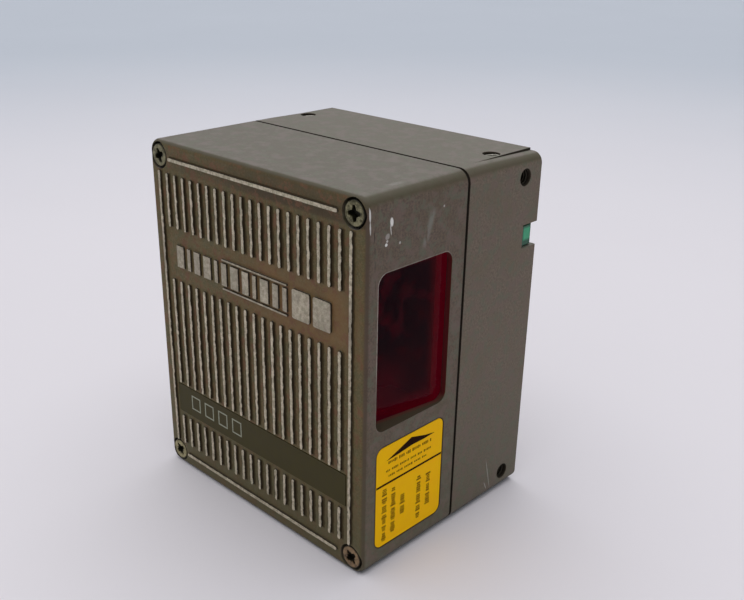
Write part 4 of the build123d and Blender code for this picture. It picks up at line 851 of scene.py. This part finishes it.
def thread(bm, mouth, axis):
    """A helical ridge on the wall of one hole; axis points out of the hole."""
    across = axis.orthogonal().normalized()
    aside = axis.cross(across)
    count = int((HOLE_DEPTH - THREAD_START - THREAD_END) / THREAD_PITCH * THREAD_STEPS)
    crest = HOLE_RADIUS - THREAD_HEIGHT
    ridge = ((HOLE_RADIUS, -0.3), (crest, -0.06), (crest, 0.06), (HOLE_RADIUS, 0.3))
    rings = []
    for k in range(count + 1):
        angle = 2 * math.pi * k / THREAD_STEPS
        taper = min(1.0, k / THREAD_RUNOUT, (count - k) / THREAD_RUNOUT)
        out = across * math.cos(angle) + aside * math.sin(angle)
        deep = THREAD_START + THREAD_PITCH * k / THREAD_STEPS
        ring = []
        for radius, rise in ridge:
            radius = HOLE_RADIUS - (HOLE_RADIUS - radius) * taper
            ring.append(bm.verts.new(mouth + (out * radius - axis * (deep + rise)) * MM))
        rings.append(ring)
    for near, far in zip(rings, rings[1:]):
        for a in range(len(ridge)):
            b = (a + 1) % len(ridge)
            bm.faces.new((near[a], near[b], far[b], far[a]))
    bm.faces.new(list(reversed(rings[0])))
    bm.faces.new(rings[-1])


def threads_of(mount):
    """The threads of one pair of holes, placed by the record's mount."""
    middle = Vector(mount["pos_m"])
    axis = Vector(mount["axis"])
    ((_, spacing),) = [item for item in mount["dims"].items() if item[0].startswith("spacing")]
    along = Vector((0, 0, 1)) if abs(axis.x) > 0.5 else Vector((1, 0, 0))

    def build(bm):
        for sign in (-1, 1):
            thread(bm, middle + along * (sign * spacing / 2 * MM), axis)
        bmesh.ops.recalc_face_normals(bm, faces=bm.faces)

    # Painted light: threads of holes that open upwards get a pale copy of the metal, as lit from above; the
    # rest a dark, shaded copy.
    surface = "tapped_lit" if axis.z > 0.5 else "tapped"
    made = mesh_piece("threads_" + mount["name"], build, surface, "chassis")
    made.data.shade_smooth()


for name in ("side_holes_right", "side_holes_left", "top_holes", "bottom_holes"):
    threads_of(mounts[name])

# ---------------------------------------------------------------- stage, light and camera
FLOOR_FLAT = 4.0
FLOOR_RIM = 1.6
FLOOR_SEGMENTS = 128
FLOOR_CURVE_STEPS = 12


def cyclorama(bm):
    """A flat floor that curves up into a low wall all round."""
    profile = [(0.0, 0.0), (FLOOR_FLAT, 0.0)]
    for k in range(1, FLOOR_CURVE_STEPS + 1):
        angle = math.pi / 2 * k / FLOOR_CURVE_STEPS
        profile.append((FLOOR_FLAT + FLOOR_RIM * math.sin(angle), FLOOR_RIM * (1 - math.cos(angle))))
    points = [bm.verts.new((r, 0, z)) for r, z in profile]
    edges = [bm.edges.new(pair) for pair in zip(points, points[1:])]
    turned = points + edges
    bmesh.ops.spin(bm, geom=turned, axis=(0, 0, 1), cent=(0, 0, 0), angle=2 * math.pi, steps=FLOOR_SEGMENTS)
    bmesh.ops.remove_doubles(bm, verts=bm.verts, dist=1e-5)
    bmesh.ops.recalc_face_normals(bm, faces=bm.faces)


floor_mesh = bpy.data.meshes.new("floor")
bm = bmesh.new()
cyclorama(bm)
bm.to_mesh(floor_mesh)
bm.free()
floor_mesh.shade_smooth()
floor = bpy.data.objects.new("floor", floor_mesh)
scene.collection.objects.link(floor)
floor_look = Surface("floor_paper", Roughness=0.8, **{"Specular IOR Level": 0.2})
tone = noise(floor_look.tree, floor_look.mm, 0.004, 3.0)
away = node(floor_look.tree, "ShaderNodeVectorMath", {0: floor_look.mm}, operation="LENGTH").outputs["Value"]
# Painted shade: the paper grows darker and bluer away from the middle.
near_paper = mix(floor_look.tree, tone, (0.770, 0.745, 0.792, 1), (0.808, 0.784, 0.828, 1))
far_paper = mix(floor_look.tree, tone, (0.515, 0.555, 0.625, 1), (0.545, 0.585, 0.655, 1))
floor_look.colour(mix(floor_look.tree, step(floor_look.tree, away, 150.0, 1050.0), near_paper, far_paper))
floor_mesh.materials.append(floor_look.material)

world = bpy.data.worlds.new("studio")
scene.world = world
world.use_nodes = True
background = world.node_tree.nodes["Background"]
background.inputs["Color"].default_value = (0.93, 0.95, 1.0, 1)
background.inputs["Strength"].default_value = 0.32


def sun(name, place, angle, power, colour):
    """A broad soft light from a direction, the same everywhere on the floor."""
    data = bpy.data.lights.new(name, "SUN")
    data.angle = math.radians(angle)
    data.energy = power
    data.color = colour
    made = bpy.data.objects.new(name, data)
    made.location = place
    made.rotation_euler = (-Vector(place)).to_track_quat("-Z", "Y").to_euler()
    scene.collection.objects.link(made)


sun("key", (-0.15, 0.12, 1.1), 85.0, 1.82, (1.0, 0.99, 0.98))
sun("fill", (0.3, -1.0, 0.9), 80.0, 0.3, (1.0, 0.97, 0.94))

CAMERA_AZIMUTH = 44.884
CAMERA_ELEVATION = 23.16
CAMERA_ROLL = 0.423
CAMERA_TARGET = (0, 0.00363, 0.051)
CAMERA_DISTANCE = 0.27487
azimuth = math.radians(CAMERA_AZIMUTH)
elevation = math.radians(CAMERA_ELEVATION)
roll = math.radians(CAMERA_ROLL)
back = Vector((
    math.sin(azimuth) * math.cos(elevation),
    -math.cos(azimuth) * math.cos(elevation),
    math.sin(elevation),
))
right = Vector((math.cos(azimuth), math.sin(azimuth), 0))
up = back.cross(right)
right_rolled = right * math.cos(roll) + up * math.sin(roll)
up_rolled = back.cross(right_rolled)
camera_data = bpy.data.cameras.new("camera")
camera_data.sensor_width = 36.0
camera_data.lens = 45.35
camera_data.shift_x = 0.031
camera_data.shift_y = 0.0187
camera_data.clip_start = 0.01
camera = bpy.data.objects.new("camera", camera_data)
turn = Matrix((right_rolled, up_rolled, back)).transposed()
place = Vector(CAMERA_TARGET) + back * CAMERA_DISTANCE
camera.matrix_world = Matrix.Translation(place) @ turn.to_4x4()
scene.collection.objects.link(camera)
scene.camera = camera
scene.view_settings.view_transform = "Standard"
